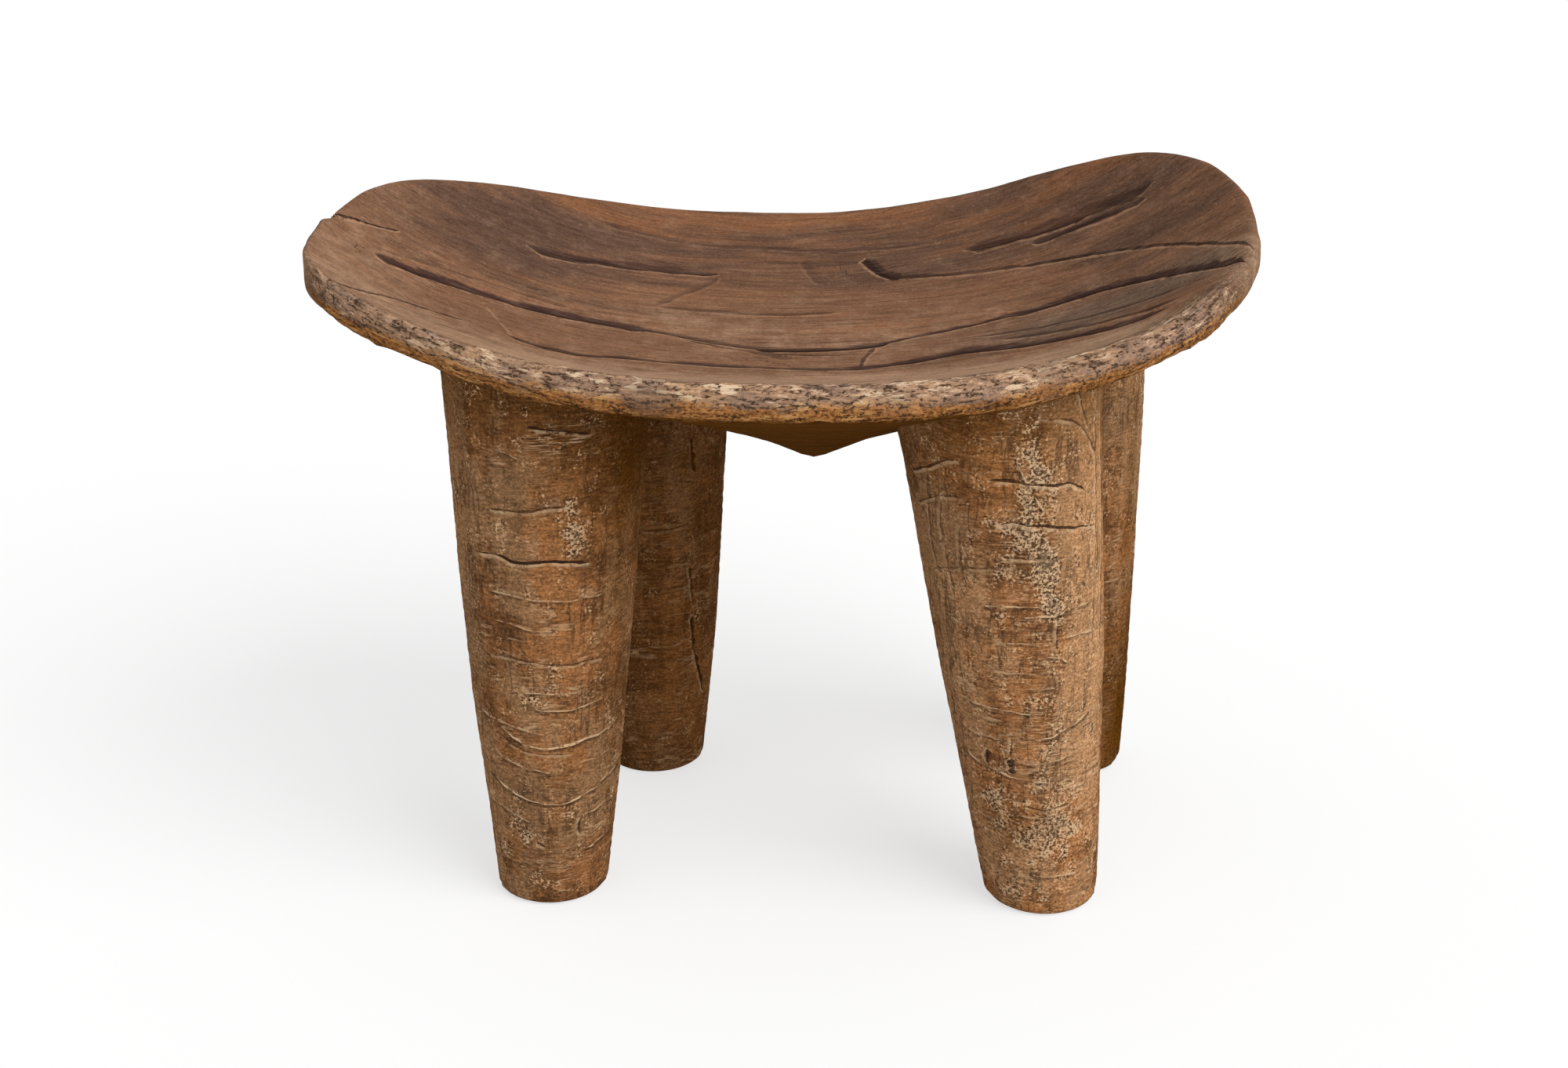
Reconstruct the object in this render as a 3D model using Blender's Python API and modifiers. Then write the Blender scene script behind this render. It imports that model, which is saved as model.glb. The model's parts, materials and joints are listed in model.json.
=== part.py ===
"""A low carved wooden stool-table: a dished oval seat on four stout tapering legs.

Units are metres and +Z is up. The origin lies on the floor under the middle of the seat.
+X runs along the seat to its right end, and +Y runs across it to its rear edge.
"""

import math

import bmesh
import bpy

# Seat: an oval saddle, dished along its length and across its depth
SEAT_LENGTH = 0.500
SEAT_DEPTH = 0.323
WIDEST_LINE = 0.009  # the seat is longest on a line this far behind its middle
DISH_HEIGHT = 0.293  # from the floor to the lowest point of the dish
END_RISE = 0.069  # the two ends sweep up this far above the dish
SIDE_RISE = 0.0325  # the front and rear edges sweep up this far
REAR_LEFT_LIFT = 0.054  # the rear corners sweep higher than the front ones
REAR_RIGHT_LIFT = 0.066
END_SWEEP_POWER = 2.6  # 2 would be a parabola
CORNER_FULLNESS = {  # 2 is an ellipse, and more is squarer
    ("front", "left"): 3.5,
    ("front", "right"): 2.25,
    ("rear", "left"): 2.1,
    ("rear", "right"): 2.6,
}

# Rim and underside: a worn, rounded edge over a flared cone that hangs below the dish
RIM_THICKNESS = 0.020
RIM_TOP_ROUND = 0.006
RIM_LOWER_ROUND = 0.004
CENTRE_THICKNESS = 0.0655
CONE_SHIFT = 0.014  # the cone's nose hangs this far to the right of the middle
CONE_NOSE = 0.0078  # half width of the blunt nose
CONE_FLARE = 0.81  # 1 would be a straight cone, and less draws its flanks in

# Legs: round in every level section, swelling slightly from foot to shoulder
GAUGE_HEIGHT = 0.300  # the height at which a leg's shoulder is measured
FOOT_RADIUS = 0.0300
SHOULDER_RADIUS = 0.0538
LEG_SWELL = 0.0023
FOOT_ROUND = 0.003

# Stance: insets from the seat's end and side to a leg's axis at the gauge, and its foot's step outwards
FRONT_LEFT_END_INSET = 0.1255
FRONT_LEFT_SIDE_INSET = 0.0910
FRONT_LEFT_STEP = 0.0065
FRONT_RIGHT_END_INSET = 0.1430
FRONT_RIGHT_SIDE_INSET = 0.0835
FRONT_RIGHT_STEP = 0.0350
REAR_LEFT_END_INSET = 0.1640
REAR_LEFT_SIDE_INSET = 0.0780
REAR_LEFT_STEP = -0.0030
REAR_RIGHT_END_INSET = 0.1005
REAR_RIGHT_SIDE_INSET = 0.0770
REAR_RIGHT_STEP = 0.0240

# Seating of the legs: the shoulder is coped to the underside, round a hidden stub tenon
TENON_RADIUS = 0.010
TENON_ROOT = 0.040  # length of the tenon's core inside the leg
SOCKET_ROOF = 0.0075  # wood left between a socket and the dish
FIT_GAP = 0.0003

# Facets
SEAT_SEGMENTS = 72
DISH_RINGS = 13
ROUND_RINGS = 3
RIM_RINGS = 2 * ROUND_RINGS + 1
CONE_RINGS = 13
LEG_SEGMENTS = 40
BARREL_RINGS = 8
FOOT_RINGS = 3
TENON_SEGMENTS = 24
CUTTER_OVERRUN = 0.05  # cutters stand this far clear of what they cut
CUTTER_REACH = 1.4  # the coping cutter runs past the rim, as a share of the oval

WOOD_ROUGHNESS = 0.55
SEAT_BROWN = (0.19, 0.10, 0.06)
WARM_BROWN = (0.22, 0.11, 0.05)
TAN = (0.29, 0.155, 0.078)
DARK_BROWN = (0.095, 0.04, 0.015)
DULL_BROWN = (0.15, 0.07, 0.03)


def quarter(x, y):
    """Name the quarter of the seat that a point lies in."""
    return ("front" if y < 0 else "rear", "left" if x < 0 else "right")


def oval_point(angle, inset):
    """A point of the seat's outline, set in from its edge: a superellipse, quarter by quarter."""
    along = math.cos(angle)
    across = math.sin(angle)
    power = CORNER_FULLNESS[quarter(along, across)]
    half_depth = SEAT_DEPTH / 2 - math.copysign(WIDEST_LINE, across)
    terms = abs(along / (SEAT_LENGTH / 2)) ** power + abs(across / half_depth) ** power
    reach = terms ** (-1 / power) - inset
    return (reach * along, reach * across + WIDEST_LINE)


def saddle_rise(x, y):
    """Height of the dish above its lowest point."""
    along = x / (SEAT_LENGTH / 2)
    across = y / (SEAT_DEPTH / 2)
    corner_lift = REAR_LEFT_LIFT if x < 0 else REAR_RIGHT_LIFT
    corner = corner_lift * along**2 * max(across, 0) ** 2
    return END_RISE * abs(along) ** END_SWEEP_POWER + SIDE_RISE * across**2 + corner


def dish_point(share, angle):
    """A point of the dished top, from its middle (0) to where the rim starts to round over (1)."""
    edge_x, edge_y = oval_point(angle, RIM_TOP_ROUND)
    x = share * edge_x
    y = share * edge_y
    return (x, y, saddle_rise(x, y))


def rim_point(ring, angle):
    """A point of the edge: one round over its top, then one under its foot, with a flat between them."""
    if ring <= ROUND_RINGS:
        tilt = math.pi / 2 * (1 - ring / ROUND_RINGS)
        inset = RIM_TOP_ROUND * (1 - math.cos(tilt))
        drop = RIM_TOP_ROUND * (1 - math.sin(tilt))
    else:
        tilt = math.pi / 2 * (ring - ROUND_RINGS - 1) / ROUND_RINGS
        inset = RIM_LOWER_ROUND * (1 - math.cos(tilt))
        drop = RIM_THICKNESS - RIM_LOWER_ROUND * (1 - math.sin(tilt))
    x, y = oval_point(angle, inset)
    return (x, y, saddle_rise(x, y) - drop)


def underside_point(share, angle):
    """A point of the conical underside, from its blunt nose (0) to the rim's lower edge (1)."""
    nose = CONE_NOSE / (SEAT_DEPTH / 2)
    climb = ((math.hypot(share, nose) - nose) / (math.hypot(1, nose) - nose)) ** CONE_FLARE
    edge_x, edge_y = oval_point(angle, RIM_LOWER_ROUND)
    drop = RIM_THICKNESS + (CENTRE_THICKNESS - RIM_THICKNESS) * (1 - climb)
    x = share * edge_x + (1 - share**2) * CONE_SHIFT
    return (x, share * edge_y, saddle_rise(edge_x, edge_y) * climb - drop)


def seat_point(ring, angle):
    """Rings count from the middle of the dish, over the rim, to the nose of the cone."""
    if ring <= DISH_RINGS:
        return dish_point(ring / DISH_RINGS, angle)
    if ring < DISH_RINGS + RIM_RINGS:
        return rim_point(ring - DISH_RINGS, angle)
    return underside_point((DISH_RINGS + RIM_RINGS + CONE_RINGS - ring) / CONE_RINGS, angle)


def coping_point(ring, angle):
    """The solid above the underside, wider than the seat, that shapes the tops of the legs."""
    share = (CONE_RINGS + 3 - ring) / CONE_RINGS
    if ring > 2:
        return underside_point(share, angle)
    x, y, z = underside_point(CUTTER_REACH, angle)
    if ring == 2:
        return (x, y, z)
    headroom = saddle_rise(SEAT_LENGTH / 2, SEAT_DEPTH / 2) * CUTTER_REACH + CUTTER_OVERRUN
    return (ring * x, ring * y, headroom)


def ball_mesh(name, rings, place):
    """Reshape the rings of a ball, pole to pole, into a closed form."""
    mesh = bpy.data.meshes.new(name)
    ball = bmesh.new()
    bmesh.ops.create_uvsphere(ball, u_segments=SEAT_SEGMENTS, v_segments=rings, radius=1)
    for vertex in ball.verts:
        polar = math.acos(max(-1, min(1, vertex.co.z)))
        vertex.co = place(round(polar / math.pi * rings), math.atan2(vertex.co.y, vertex.co.x))
    ball.to_mesh(mesh)
    ball.free()
    return mesh


def leg_radius(height):
    share = height / GAUGE_HEIGHT
    taper = FOOT_RADIUS + (SHOULDER_RADIUS - FOOT_RADIUS) * share
    return taper + LEG_SWELL * 4 * share * (1 - share)


def leg_profile():
    """Half section of a leg before coping, from the top of its axis down its side and under its foot."""
    top = DISH_HEIGHT + saddle_rise(SEAT_LENGTH / 2, SEAT_DEPTH / 2)
    points = [(0, top)]
    for ring in range(BARREL_RINGS):
        height = top + (FOOT_ROUND - top) * ring / BARREL_RINGS
        points.append((leg_radius(height), height))
    core = leg_radius(FOOT_ROUND) - FOOT_ROUND
    for ring in range(FOOT_RINGS + 1):
        tilt = math.pi / 2 * ring / FOOT_RINGS
        points.append((core + FOOT_ROUND * math.cos(tilt), FOOT_ROUND * (1 - math.sin(tilt))))
    points.append((0, 0))
    return points


def turned_mesh(name, profile):
    """Turn a half section about the Z axis."""
    outline = bpy.data.meshes.new(name)
    edges = [(i, i + 1) for i in range(len(profile) - 1)]
    outline.from_pydata([(radius, 0, height) for radius, height in profile], edges, [])
    blank = bpy.data.objects.new(name, outline)
    bpy.context.scene.collection.objects.link(blank)
    turning = blank.modifiers.new("turning", "SCREW")
    turning.steps = turning.render_steps = LEG_SEGMENTS
    turning.use_merge_vertices = True
    turning.merge_threshold = 0.00001
    mesh = bpy.data.meshes.new_from_object(blank.evaluated_get(bpy.context.evaluated_depsgraph_get()))
    bpy.data.objects.remove(blank)
    bpy.data.meshes.remove(outline)
    mesh.name = name
    return mesh


def peg_mesh(name, radius, low, high):
    """A round peg on the Z axis between two heights."""
    mesh = bpy.data.meshes.new(name)
    peg = bmesh.new()
    bmesh.ops.create_cone(
        peg, cap_ends=True, segments=TENON_SEGMENTS, radius1=radius, radius2=radius, depth=high - low
    )
    bmesh.ops.translate(peg, verts=peg.verts, vec=(0, 0, (low + high) / 2))
    peg.to_mesh(mesh)
    peg.free()
    return mesh


def lean(mesh, shift):
    """Slide each level section along X with its height, so the foot stays flat on the floor."""
    for vertex in mesh.vertices:
        vertex.co.x += shift * vertex.co.z / GAUGE_HEIGHT


def wood(name, colour):
    material = bpy.data.materials.new(name)
    material.diffuse_color = (*colour, 1)
    material.use_nodes = True
    shader = material.node_tree.nodes["Principled BSDF"]
    shader.inputs["Base Color"].default_value = (*colour, 1)
    shader.inputs["Roughness"].default_value = WOOD_ROUGHNESS
    shader.inputs["Metallic"].default_value = 0
    return material


def add_part(name, mesh, colour, location):
    mesh.materials.append(wood(name + "_wood", colour))
    mesh.shade_smooth()
    mesh.set_sharp_from_angle(angle=math.radians(40))
    part = bpy.data.objects.new(name, mesh)
    part.location = location
    part.parent = stool
    parts.objects.link(part)
    return part


def add_cutter(name, mesh, location):
    cutter = bpy.data.objects.new(name, mesh)
    cutter.location = location
    cutter.parent = stool
    cutter.hide_render = True
    cutter.display_type = "WIRE"
    cutters.objects.link(cutter)
    return cutter


def add_boolean(part, operation, other):
    boolean = part.modifiers.new(other.name, "BOOLEAN")
    boolean.operation = operation
    boolean.solver = "EXACT"
    boolean.object = other


def add_leg(place, colour, end_inset, side_inset, step):
    """One leg, coped to the underside of the seat, with its stub tenon and the seat's socket for it."""
    name = "leg_" + "_".join(place)
    end_way = -1 if place[1] == "left" else 1
    side_way = -1 if place[0] == "front" else 1
    shoulder_x = end_way * (SEAT_LENGTH / 2 - end_inset)
    shoulder_y = side_way * (SEAT_DEPTH / 2 - side_inset)
    foot = (shoulder_x + end_way * step, shoulder_y, 0)
    socket_top = DISH_HEIGHT + saddle_rise(shoulder_x, shoulder_y) - SOCKET_ROOF
    root = socket_top - TENON_ROOT

    barrel = turned_mesh(name, leg_profile())
    tenon = peg_mesh(name + "_tenon", TENON_RADIUS, root, socket_top - FIT_GAP)
    socket = peg_mesh(name + "_socket", TENON_RADIUS + FIT_GAP, root - CUTTER_OVERRUN, socket_top)
    for mesh in (barrel, tenon, socket):
        lean(mesh, -end_way * step)

    leg = add_part(name, barrel, colour, foot)
    add_boolean(leg, "DIFFERENCE", coping)
    add_boolean(leg, "UNION", add_cutter(name + "_tenon", tenon, foot))
    add_boolean(seat, "DIFFERENCE", add_cutter(name + "_socket", socket, foot))


for leftover in list(bpy.data.objects):
    bpy.data.objects.remove(leftover)

parts = bpy.data.collections.new("carved_stool_table")
cutters = bpy.data.collections.new("carved_stool_table_cutters")
bpy.context.scene.collection.children.link(parts)
bpy.context.scene.collection.children.link(cutters)

stool = bpy.data.objects.new("stool_origin", None)
parts.objects.link(stool)

seat_form = ball_mesh("seat", DISH_RINGS + RIM_RINGS + CONE_RINGS, seat_point)
seat = add_part("seat", seat_form, SEAT_BROWN, (0, 0, DISH_HEIGHT))

coping_form = ball_mesh("coping", CONE_RINGS + 3, coping_point)
coping = add_cutter("coping", coping_form, (0, 0, DISH_HEIGHT - FIT_GAP))

add_leg(
    ("front", "left"), WARM_BROWN, FRONT_LEFT_END_INSET, FRONT_LEFT_SIDE_INSET, FRONT_LEFT_STEP
)
add_leg(
    ("front", "right"), TAN, FRONT_RIGHT_END_INSET, FRONT_RIGHT_SIDE_INSET, FRONT_RIGHT_STEP
)
add_leg(
    ("rear", "left"), DARK_BROWN, REAR_LEFT_END_INSET, REAR_LEFT_SIDE_INSET, REAR_LEFT_STEP
)
add_leg(
    ("rear", "right"), DULL_BROWN, REAR_RIGHT_END_INSET, REAR_RIGHT_SIDE_INSET, REAR_RIGHT_STEP
)
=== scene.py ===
import json
import math
from functools import partial

import bpy
import numpy as np
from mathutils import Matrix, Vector, noise
from mathutils.bvhtree import BVHTree


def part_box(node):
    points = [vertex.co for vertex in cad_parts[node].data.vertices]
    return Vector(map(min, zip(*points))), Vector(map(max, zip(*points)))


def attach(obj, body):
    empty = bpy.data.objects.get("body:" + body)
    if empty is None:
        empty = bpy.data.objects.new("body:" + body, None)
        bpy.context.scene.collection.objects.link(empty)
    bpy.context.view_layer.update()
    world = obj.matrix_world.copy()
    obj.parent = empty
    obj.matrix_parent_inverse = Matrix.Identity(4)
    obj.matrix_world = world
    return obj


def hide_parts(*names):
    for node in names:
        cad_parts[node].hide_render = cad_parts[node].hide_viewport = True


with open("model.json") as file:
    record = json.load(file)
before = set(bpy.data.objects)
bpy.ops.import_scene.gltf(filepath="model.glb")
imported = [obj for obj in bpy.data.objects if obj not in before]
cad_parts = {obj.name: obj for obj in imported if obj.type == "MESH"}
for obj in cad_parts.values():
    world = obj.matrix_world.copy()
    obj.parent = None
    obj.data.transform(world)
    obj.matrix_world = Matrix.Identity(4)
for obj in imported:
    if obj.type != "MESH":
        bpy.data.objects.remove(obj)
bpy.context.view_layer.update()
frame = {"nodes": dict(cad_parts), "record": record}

# Seat
# The top of one hardwood log, adzed hollow along the grain into a dished oval saddle over a blunt cone.
# Its rim is thick, chipped and rough, and drying has opened checks along the dish. The legs are one with it.
seat_low, seat_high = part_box("seat")
HALF_LENGTH = (seat_high.x - seat_low.x) / 2
HALF_DEPTH = (seat_high.y - seat_low.y) / 2
WIDEST_LINE = 0.009
DISH_HEIGHT = 0.293
END_RISE = 0.069
END_SWEEP_POWER = 2.6
SIDE_RISE = 0.0325
REAR_LEFT_LIFT = 0.054
REAR_RIGHT_LIFT = 0.066
FRONT_LEFT_FULLNESS = 3.5
FRONT_RIGHT_FULLNESS = 2.25
REAR_LEFT_FULLNESS = 2.1
REAR_RIGHT_FULLNESS = 2.6
RIM_THICKNESS = 0.02
# Turns are in degrees round the seat from its right end
SAG_TURNS = (-174, -160, -151, -142, -128)
RIM_SAGS = (0, 0.0035, 0.0012, -0.002, 0)  # the rim is thicker and thinner there
ROLL_TURNS = (-180, -163, -152, -140, -120, -95, -50, -15, 15, 50, 90, 130, 165, 180)
TOP_ROLLS = (
    0.003, 0.003, 0.0035, 0.004, 0.006, 0.008, 0.015, 0.013, 0.004, 0.009, 0.007, 0.009, 0.006, 0.003
)
LOWER_ROLLS = (
    0.005, 0.004, 0.01, 0.015, 0.01, 0.005, 0.004, 0.005, 0.004, 0.004, 0.004, 0.004, 0.004, 0.004
)
CRUST_TURNS = (-180, -166, -159, -152, -95, -55, -28, -15, 5, 30, 180)
CRUST_SHARES = (0.05, 0.05, 0.45, 1.0, 1.0, 1.0, 0.95, 0.45, 0.15, 0.3, 0.2)
CRUST_REACHES = (0.02, 0.03, 0.05, 0.06, 0.07, 0.1, 0.14, 0.12, 0.08, 0.04, 0.02)  # share of the way in
SWELL_TURNS = (-166, -160, -154, -148, -138, -52, -40, -27, -20.5, -11, -2, 7, 15)
EDGE_SWELLS = (0, 0.001, 0, -0.001, 0, 0, 0.0038, 0.0038, -0.001, -0.001, 0, 0.0022, 0)
SPLIT_FOOT = (-0.243, 0.019)  # a split at the left end, behind which the lip has drawn in
SPLIT_RUN = (0.8, 0.6)
SPLIT_STEP = 0.0036
LIP_SOFTNESS = 0.001
LIP_LENGTH = 0.11
LIP_REACH = 0.05
LIP_INNER = -0.25
LIP_UNDER = 1.4
LIP_DROP = 0.6  # the lip has sunk by this share of the step
CORNER_WEAR = 0.0032  # the lip's corner in front of the split is worn round
CORNER_RUN = 0.013
CORNER_REACH = 0.03
CORNER_INNER = -0.1
CORNER_FADE = (1.2, 0.4)
CENTRE_THICKNESS = 0.0655
CONE_SHIFT = 0.014
CONE_NOSE = 0.0078
CONE_FLARE = 0.81
GRID_COLUMNS = 160
GRID_ROWS = 324
ROLL_LOOPS = 10
SIDE_LOOPS = 9
LOWER_LOOPS = 5
OUTLINE_STEPS = 720
EDGE_SHARE = 0.999
# Heights of the lumps in metres, and how many there are to the metre along, across and up
ADZE_HEIGHT = 0.0007
ADZE_LUMPS = (14, 26, 26)
FIBRE_HEIGHT = 0.00022
FIBRE_LUMPS = (22, 260, 160)
CRUST_HEIGHT = 0.0009
CRUST_LUMPS = (60, 80, 90)
CHIP_HEIGHT = 0.0008
CHIP_LUMPS = (130, 280, 300)
SMOOTH_EDGE = -0.06
UNDER_EDGE = 1.12
RIM_START = 0.04
LINES_END = 0.35
MM = 0.001


def smooth_step(values, low, high):
    share = np.clip((values - low) / (high - low), 0, 1)
    return share * share * (3 - 2 * share)


def lumps(points, scale, seed, octaves=3):
    """Soft noise, about -1 to 1, at each point. The scale is lumps per metre along X, Y and Z."""
    offset = Vector((seed * 7.31, seed * 3.17, seed * 5.71))
    stretched = points * np.array(scale)
    return np.array([noise.fractal(Vector(p) + offset, 1.0, 2.0, octaves) for p in stretched])


def oval_edge(angle, inset):
    """The seat's outline in plan: a superellipse whose fullness changes from quarter to quarter."""
    along = np.cos(angle)
    across = np.sin(angle)
    front = np.where(along < 0, FRONT_LEFT_FULLNESS, FRONT_RIGHT_FULLNESS)
    rear = np.where(along < 0, REAR_LEFT_FULLNESS, REAR_RIGHT_FULLNESS)
    fullness = np.where(across < 0, front, rear)
    half_depth = HALF_DEPTH - np.copysign(WIDEST_LINE, across)
    terms = np.abs(along / HALF_LENGTH) ** fullness + np.abs(across / half_depth) ** fullness
    swell = np.interp(np.degrees(angle), SWELL_TURNS, EDGE_SWELLS)
    reach = terms ** (-1 / fullness) + swell - inset
    return reach * along, reach * across + WIDEST_LINE


def saddle_rise(x, y):
    along = x / HALF_LENGTH
    across = y / HALF_DEPTH
    lift = np.where(x < 0, REAR_LEFT_LIFT, REAR_RIGHT_LIFT)
    corner = lift * along**2 * np.maximum(across, 0) ** 2
    return END_RISE * np.abs(along) ** END_SWEEP_POWER + SIDE_RISE * across**2 + corner


def top_roll(angle):
    """The top edge is worn round at the front and right, and stays crisp elsewhere."""
    return np.interp(np.degrees(angle), ROLL_TURNS, TOP_ROLLS)


def lower_roll(angle):
    return np.interp(np.degrees(angle), ROLL_TURNS, LOWER_ROLLS)


def disc_grid(columns, rows):
    """A square grid squeezed into a disc: each point's share of the way out, its angle, and the faces."""
    s, t = np.meshgrid(np.linspace(-1, 1, columns + 1), np.linspace(-1, 1, rows + 1))
    u = (s * np.sqrt(1 - t * t / 2)).ravel()
    v = (t * np.sqrt(1 - s * s / 2)).ravel()
    corner = np.arange(rows)[:, None] * (columns + 1) + np.arange(columns)[None, :]
    corner = corner.ravel()
    faces = np.stack([corner, corner + 1, corner + columns + 2, corner + columns + 1], axis=1)
    bottom = np.arange(columns)
    right = np.arange(rows) * (columns + 1) + columns
    top = rows * (columns + 1) + np.arange(columns, 0, -1)
    left = np.arange(rows, 0, -1) * (columns + 1)
    border = np.concatenate([bottom, right, top, left])
    return np.hypot(u, v), np.arctan2(HALF_DEPTH * v, HALF_LENGTH * u), faces, border


def rim_thickness(angle):
    return RIM_THICKNESS + np.interp(np.degrees(angle), SAG_TURNS, RIM_SAGS)


def rim_loops(angle):
    """Loops over the rolled top of the rim, down its side and under its lower edge."""
    roll = top_roll(angle)
    lower = lower_roll(angle)
    thickness = rim_thickness(angle)
    for loop in range(1, ROLL_LOOPS + 1):
        tilt = math.pi / 2 * (1 - loop / ROLL_LOOPS)
        yield roll * (1 - math.cos(tilt)), roll * (1 - math.sin(tilt))
    for loop in range(1, SIDE_LOOPS + 1):
        share = loop / SIDE_LOOPS
        yield 0 * roll, roll + (thickness - lower - roll) * share
    for loop in range(1, LOWER_LOOPS):
        tilt = math.pi / 2 * loop / LOWER_LOOPS
        yield lower * (1 - math.cos(tilt)), thickness - lower * (1 - math.sin(tilt))


def underside(share, angle):
    nose = CONE_NOSE / HALF_DEPTH
    climb = ((np.hypot(share, nose) - nose) / (math.hypot(1, nose) - nose)) ** CONE_FLARE
    edge_x, edge_y = oval_edge(angle, lower_roll(angle))
    thickness = rim_thickness(angle)
    drop = thickness + (CENTRE_THICKNESS - thickness) * (1 - climb)
    x = share * edge_x + (1 - share**2) * CONE_SHIFT
    return x, share * edge_y, saddle_rise(edge_x, edge_y) * climb - drop


def walked_round(angle):
    """How far each angle is along the seat's outline, from its left end."""
    turns = np.linspace(-math.pi, math.pi, OUTLINE_STEPS + 1)
    x, y = oval_edge(turns, 0)
    walked = np.concatenate([[0], np.cumsum(np.hypot(np.diff(x), np.diff(y)))])
    return np.interp(angle, turns, walked)


def seat_surface():
    """The smooth seat's points and faces. Each point has how far it lies over the rim, from 0 at the rim's
    top to 1 at its foot, how far down it, and its place along the rim and across it in metres."""
    share, angle, faces, border = disc_grid(GRID_COLUMNS, GRID_ROWS)
    edge_x, edge_y = oval_edge(angle, top_roll(angle))
    x = share * edge_x
    y = share * edge_y
    place = np.stack([x, y, saddle_rise(x, y)], axis=1)
    blocks = [(place, share - 1, 0 * share, walked_round(angle), (share - 1) * np.hypot(edge_x, edge_y))]
    count = len(x)
    corners = [faces]
    loop_angle = angle[border]
    walked = walked_round(loop_angle)
    last = border
    before = place[border]
    across = 0
    for number, (inset, drop) in enumerate(rim_loops(loop_angle), 1):
        x, y = oval_edge(loop_angle, inset)
        place = np.stack([x, y, saddle_rise(x, y) - drop], axis=1)
        across = across + np.linalg.norm(place - before, axis=1)
        over = np.full(len(x), number / (ROLL_LOOPS + SIDE_LOOPS + LOWER_LOOPS))
        blocks.append((place, over, drop / rim_thickness(loop_angle), walked, across))
        before = place
        loop = count + np.arange(len(border))
        count += len(border)
        corners.append(np.stack([last, loop, np.roll(loop, -1), np.roll(last, -1)], axis=1))
        last = loop

    share, angle, faces, border = disc_grid(GRID_COLUMNS // 2, GRID_ROWS // 2)
    place = np.stack(underside(share, angle), axis=1)
    over = np.where(share > EDGE_SHARE, 1, 2 - share)
    blocks.append((place, over, 1 + 0 * share, walked_round(angle), np.full(len(share), RIM_THICKNESS)))
    corners.append(count + faces[:, ::-1])
    inner = count + border
    inner_next = np.roll(inner, -1)
    first, middle, third = last[0::2], last[1::2], np.roll(last, -2)[0::2]
    stitches = [(first, inner, middle), (middle, inner, inner_next), (middle, inner_next, third)]
    triangles = [np.stack(stitch, axis=1) for stitch in stitches]
    flat = [face for block in corners + triangles for face in block.tolist()]
    placed, *fields = (np.concatenate(column) for column in zip(*blocks))
    placed[:, 2] += DISH_HEIGHT
    return placed, flat, dict(zip(("over", "down", "rim_along", "rim_across"), fields))


RUN_STEPS = 8


def route_points(route):
    """A smooth run of points through the few that are given."""
    given = np.array([route[0], *route, route[-1]], float)
    steps = np.linspace(0, 1, RUN_STEPS, endpoint=False)[:, None]
    runs = []
    for a, b, c, d in zip(given, given[1:], given[2:], given[3:]):
        curve = 2 * b + (c - a) * steps + (2 * a - 5 * b + 4 * c - d) * steps**2
        runs.append((curve + (3 * b - a - 3 * c + d) * steps**3) / 2)
    return np.concatenate([*runs, given[-1:]])


def line_field(places, route, margin):
    """Signed distance from each place to a line, and the share along it, for the places near it."""
    run = route_points(route)
    near = np.all((places > run.min(0) - margin) & (places < run.max(0) + margin), axis=1)
    spots = places[near]
    best = np.full(len(spots), 1.0)
    side = np.ones(len(spots))
    along = np.zeros(len(spots))
    steps = np.diff(run, axis=0)
    ends = np.concatenate([[0], np.cumsum(np.hypot(*steps.T))])
    for start, step, walked in zip(run, steps, ends):
        offset = spots - start
        length = np.hypot(*step)
        share = np.clip(offset @ step / length**2, 0, 1)
        gap = np.hypot(*(offset - share[:, None] * step).T)
        nearer = gap < best
        best[nearer] = gap[nearer]
        side[nearer] = np.sign(step[0] * offset[nearer, 1] - step[1] * offset[nearer, 0])
        along[nearer] = (walked + share[nearer] * length) / ends[-1]
    return near, best * side, along


LINE_MARGIN = 0.018
LINE_LIMIT = LINE_MARGIN * 0.95
TAPER_SHARE = 0.1  # a line thins out over this share of its length
THIN_END = 0.35  # and ends at this share of its width
FAINTEST = 0.02
LAYERS = 3
NO_LINE = -0.001
FAR_WALL = 2.2  # the side of a groove away from the front is worn to a gentle slope
NEAR_WALL = 1.15
BLUNT_WIDTH = 6.9  # a wider groove than this, in millimetres, starts with a blunt end


def cut_lines(places, lines):
    """How deep the lines cut at each place, and each layer's signed distance, half width and shade."""
    depth = np.zeros(len(places))
    distance = np.full((LAYERS, len(places)), LINE_MARGIN)
    width = np.full((LAYERS, len(places)), NO_LINE)
    shade = np.zeros((LAYERS, len(places)))
    for route, half_width, deep, dark, layer in lines:
        near, gap, along = line_field(places, np.reshape(route, (-1, 2)) * MM, LINE_MARGIN)
        blunt = half_width > BLUNT_WIDTH
        taper = smooth_step(np.minimum(1 if blunt else along, 1 - along), 0.0, TAPER_SHARE)
        reach = half_width * MM * (THIN_END + (1 - THIN_END) * taper)
        wall = np.where(gap > 0, FAR_WALL, NEAR_WALL)
        inside = np.clip(1 - np.abs(gap) / (reach * wall), 0, 1)
        cut = deep * MM * taper * inside**2 * (3 - 2 * inside)
        depth[near] = np.where(np.abs(cut) > np.abs(depth[near]), cut, depth[near])
        closer = (np.abs(gap) < np.abs(distance[layer, near])) & (np.abs(gap) < LINE_LIMIT)
        index = np.flatnonzero(near)[closer]
        distance[layer, index] = gap[closer]
        width[layer, index] = np.where(taper > FAINTEST, reach * taper, NO_LINE)[closer]
        shade[layer, index] = dark
    return depth, {"line_distance": distance, "line_width": width, "line_shade": shade}


def mark(mesh, name, values):
    attribute = mesh.attributes.new(name, "FLOAT", "POINT")
    attribute.data.foreach_set("value", np.asarray(values, np.float32))


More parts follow.
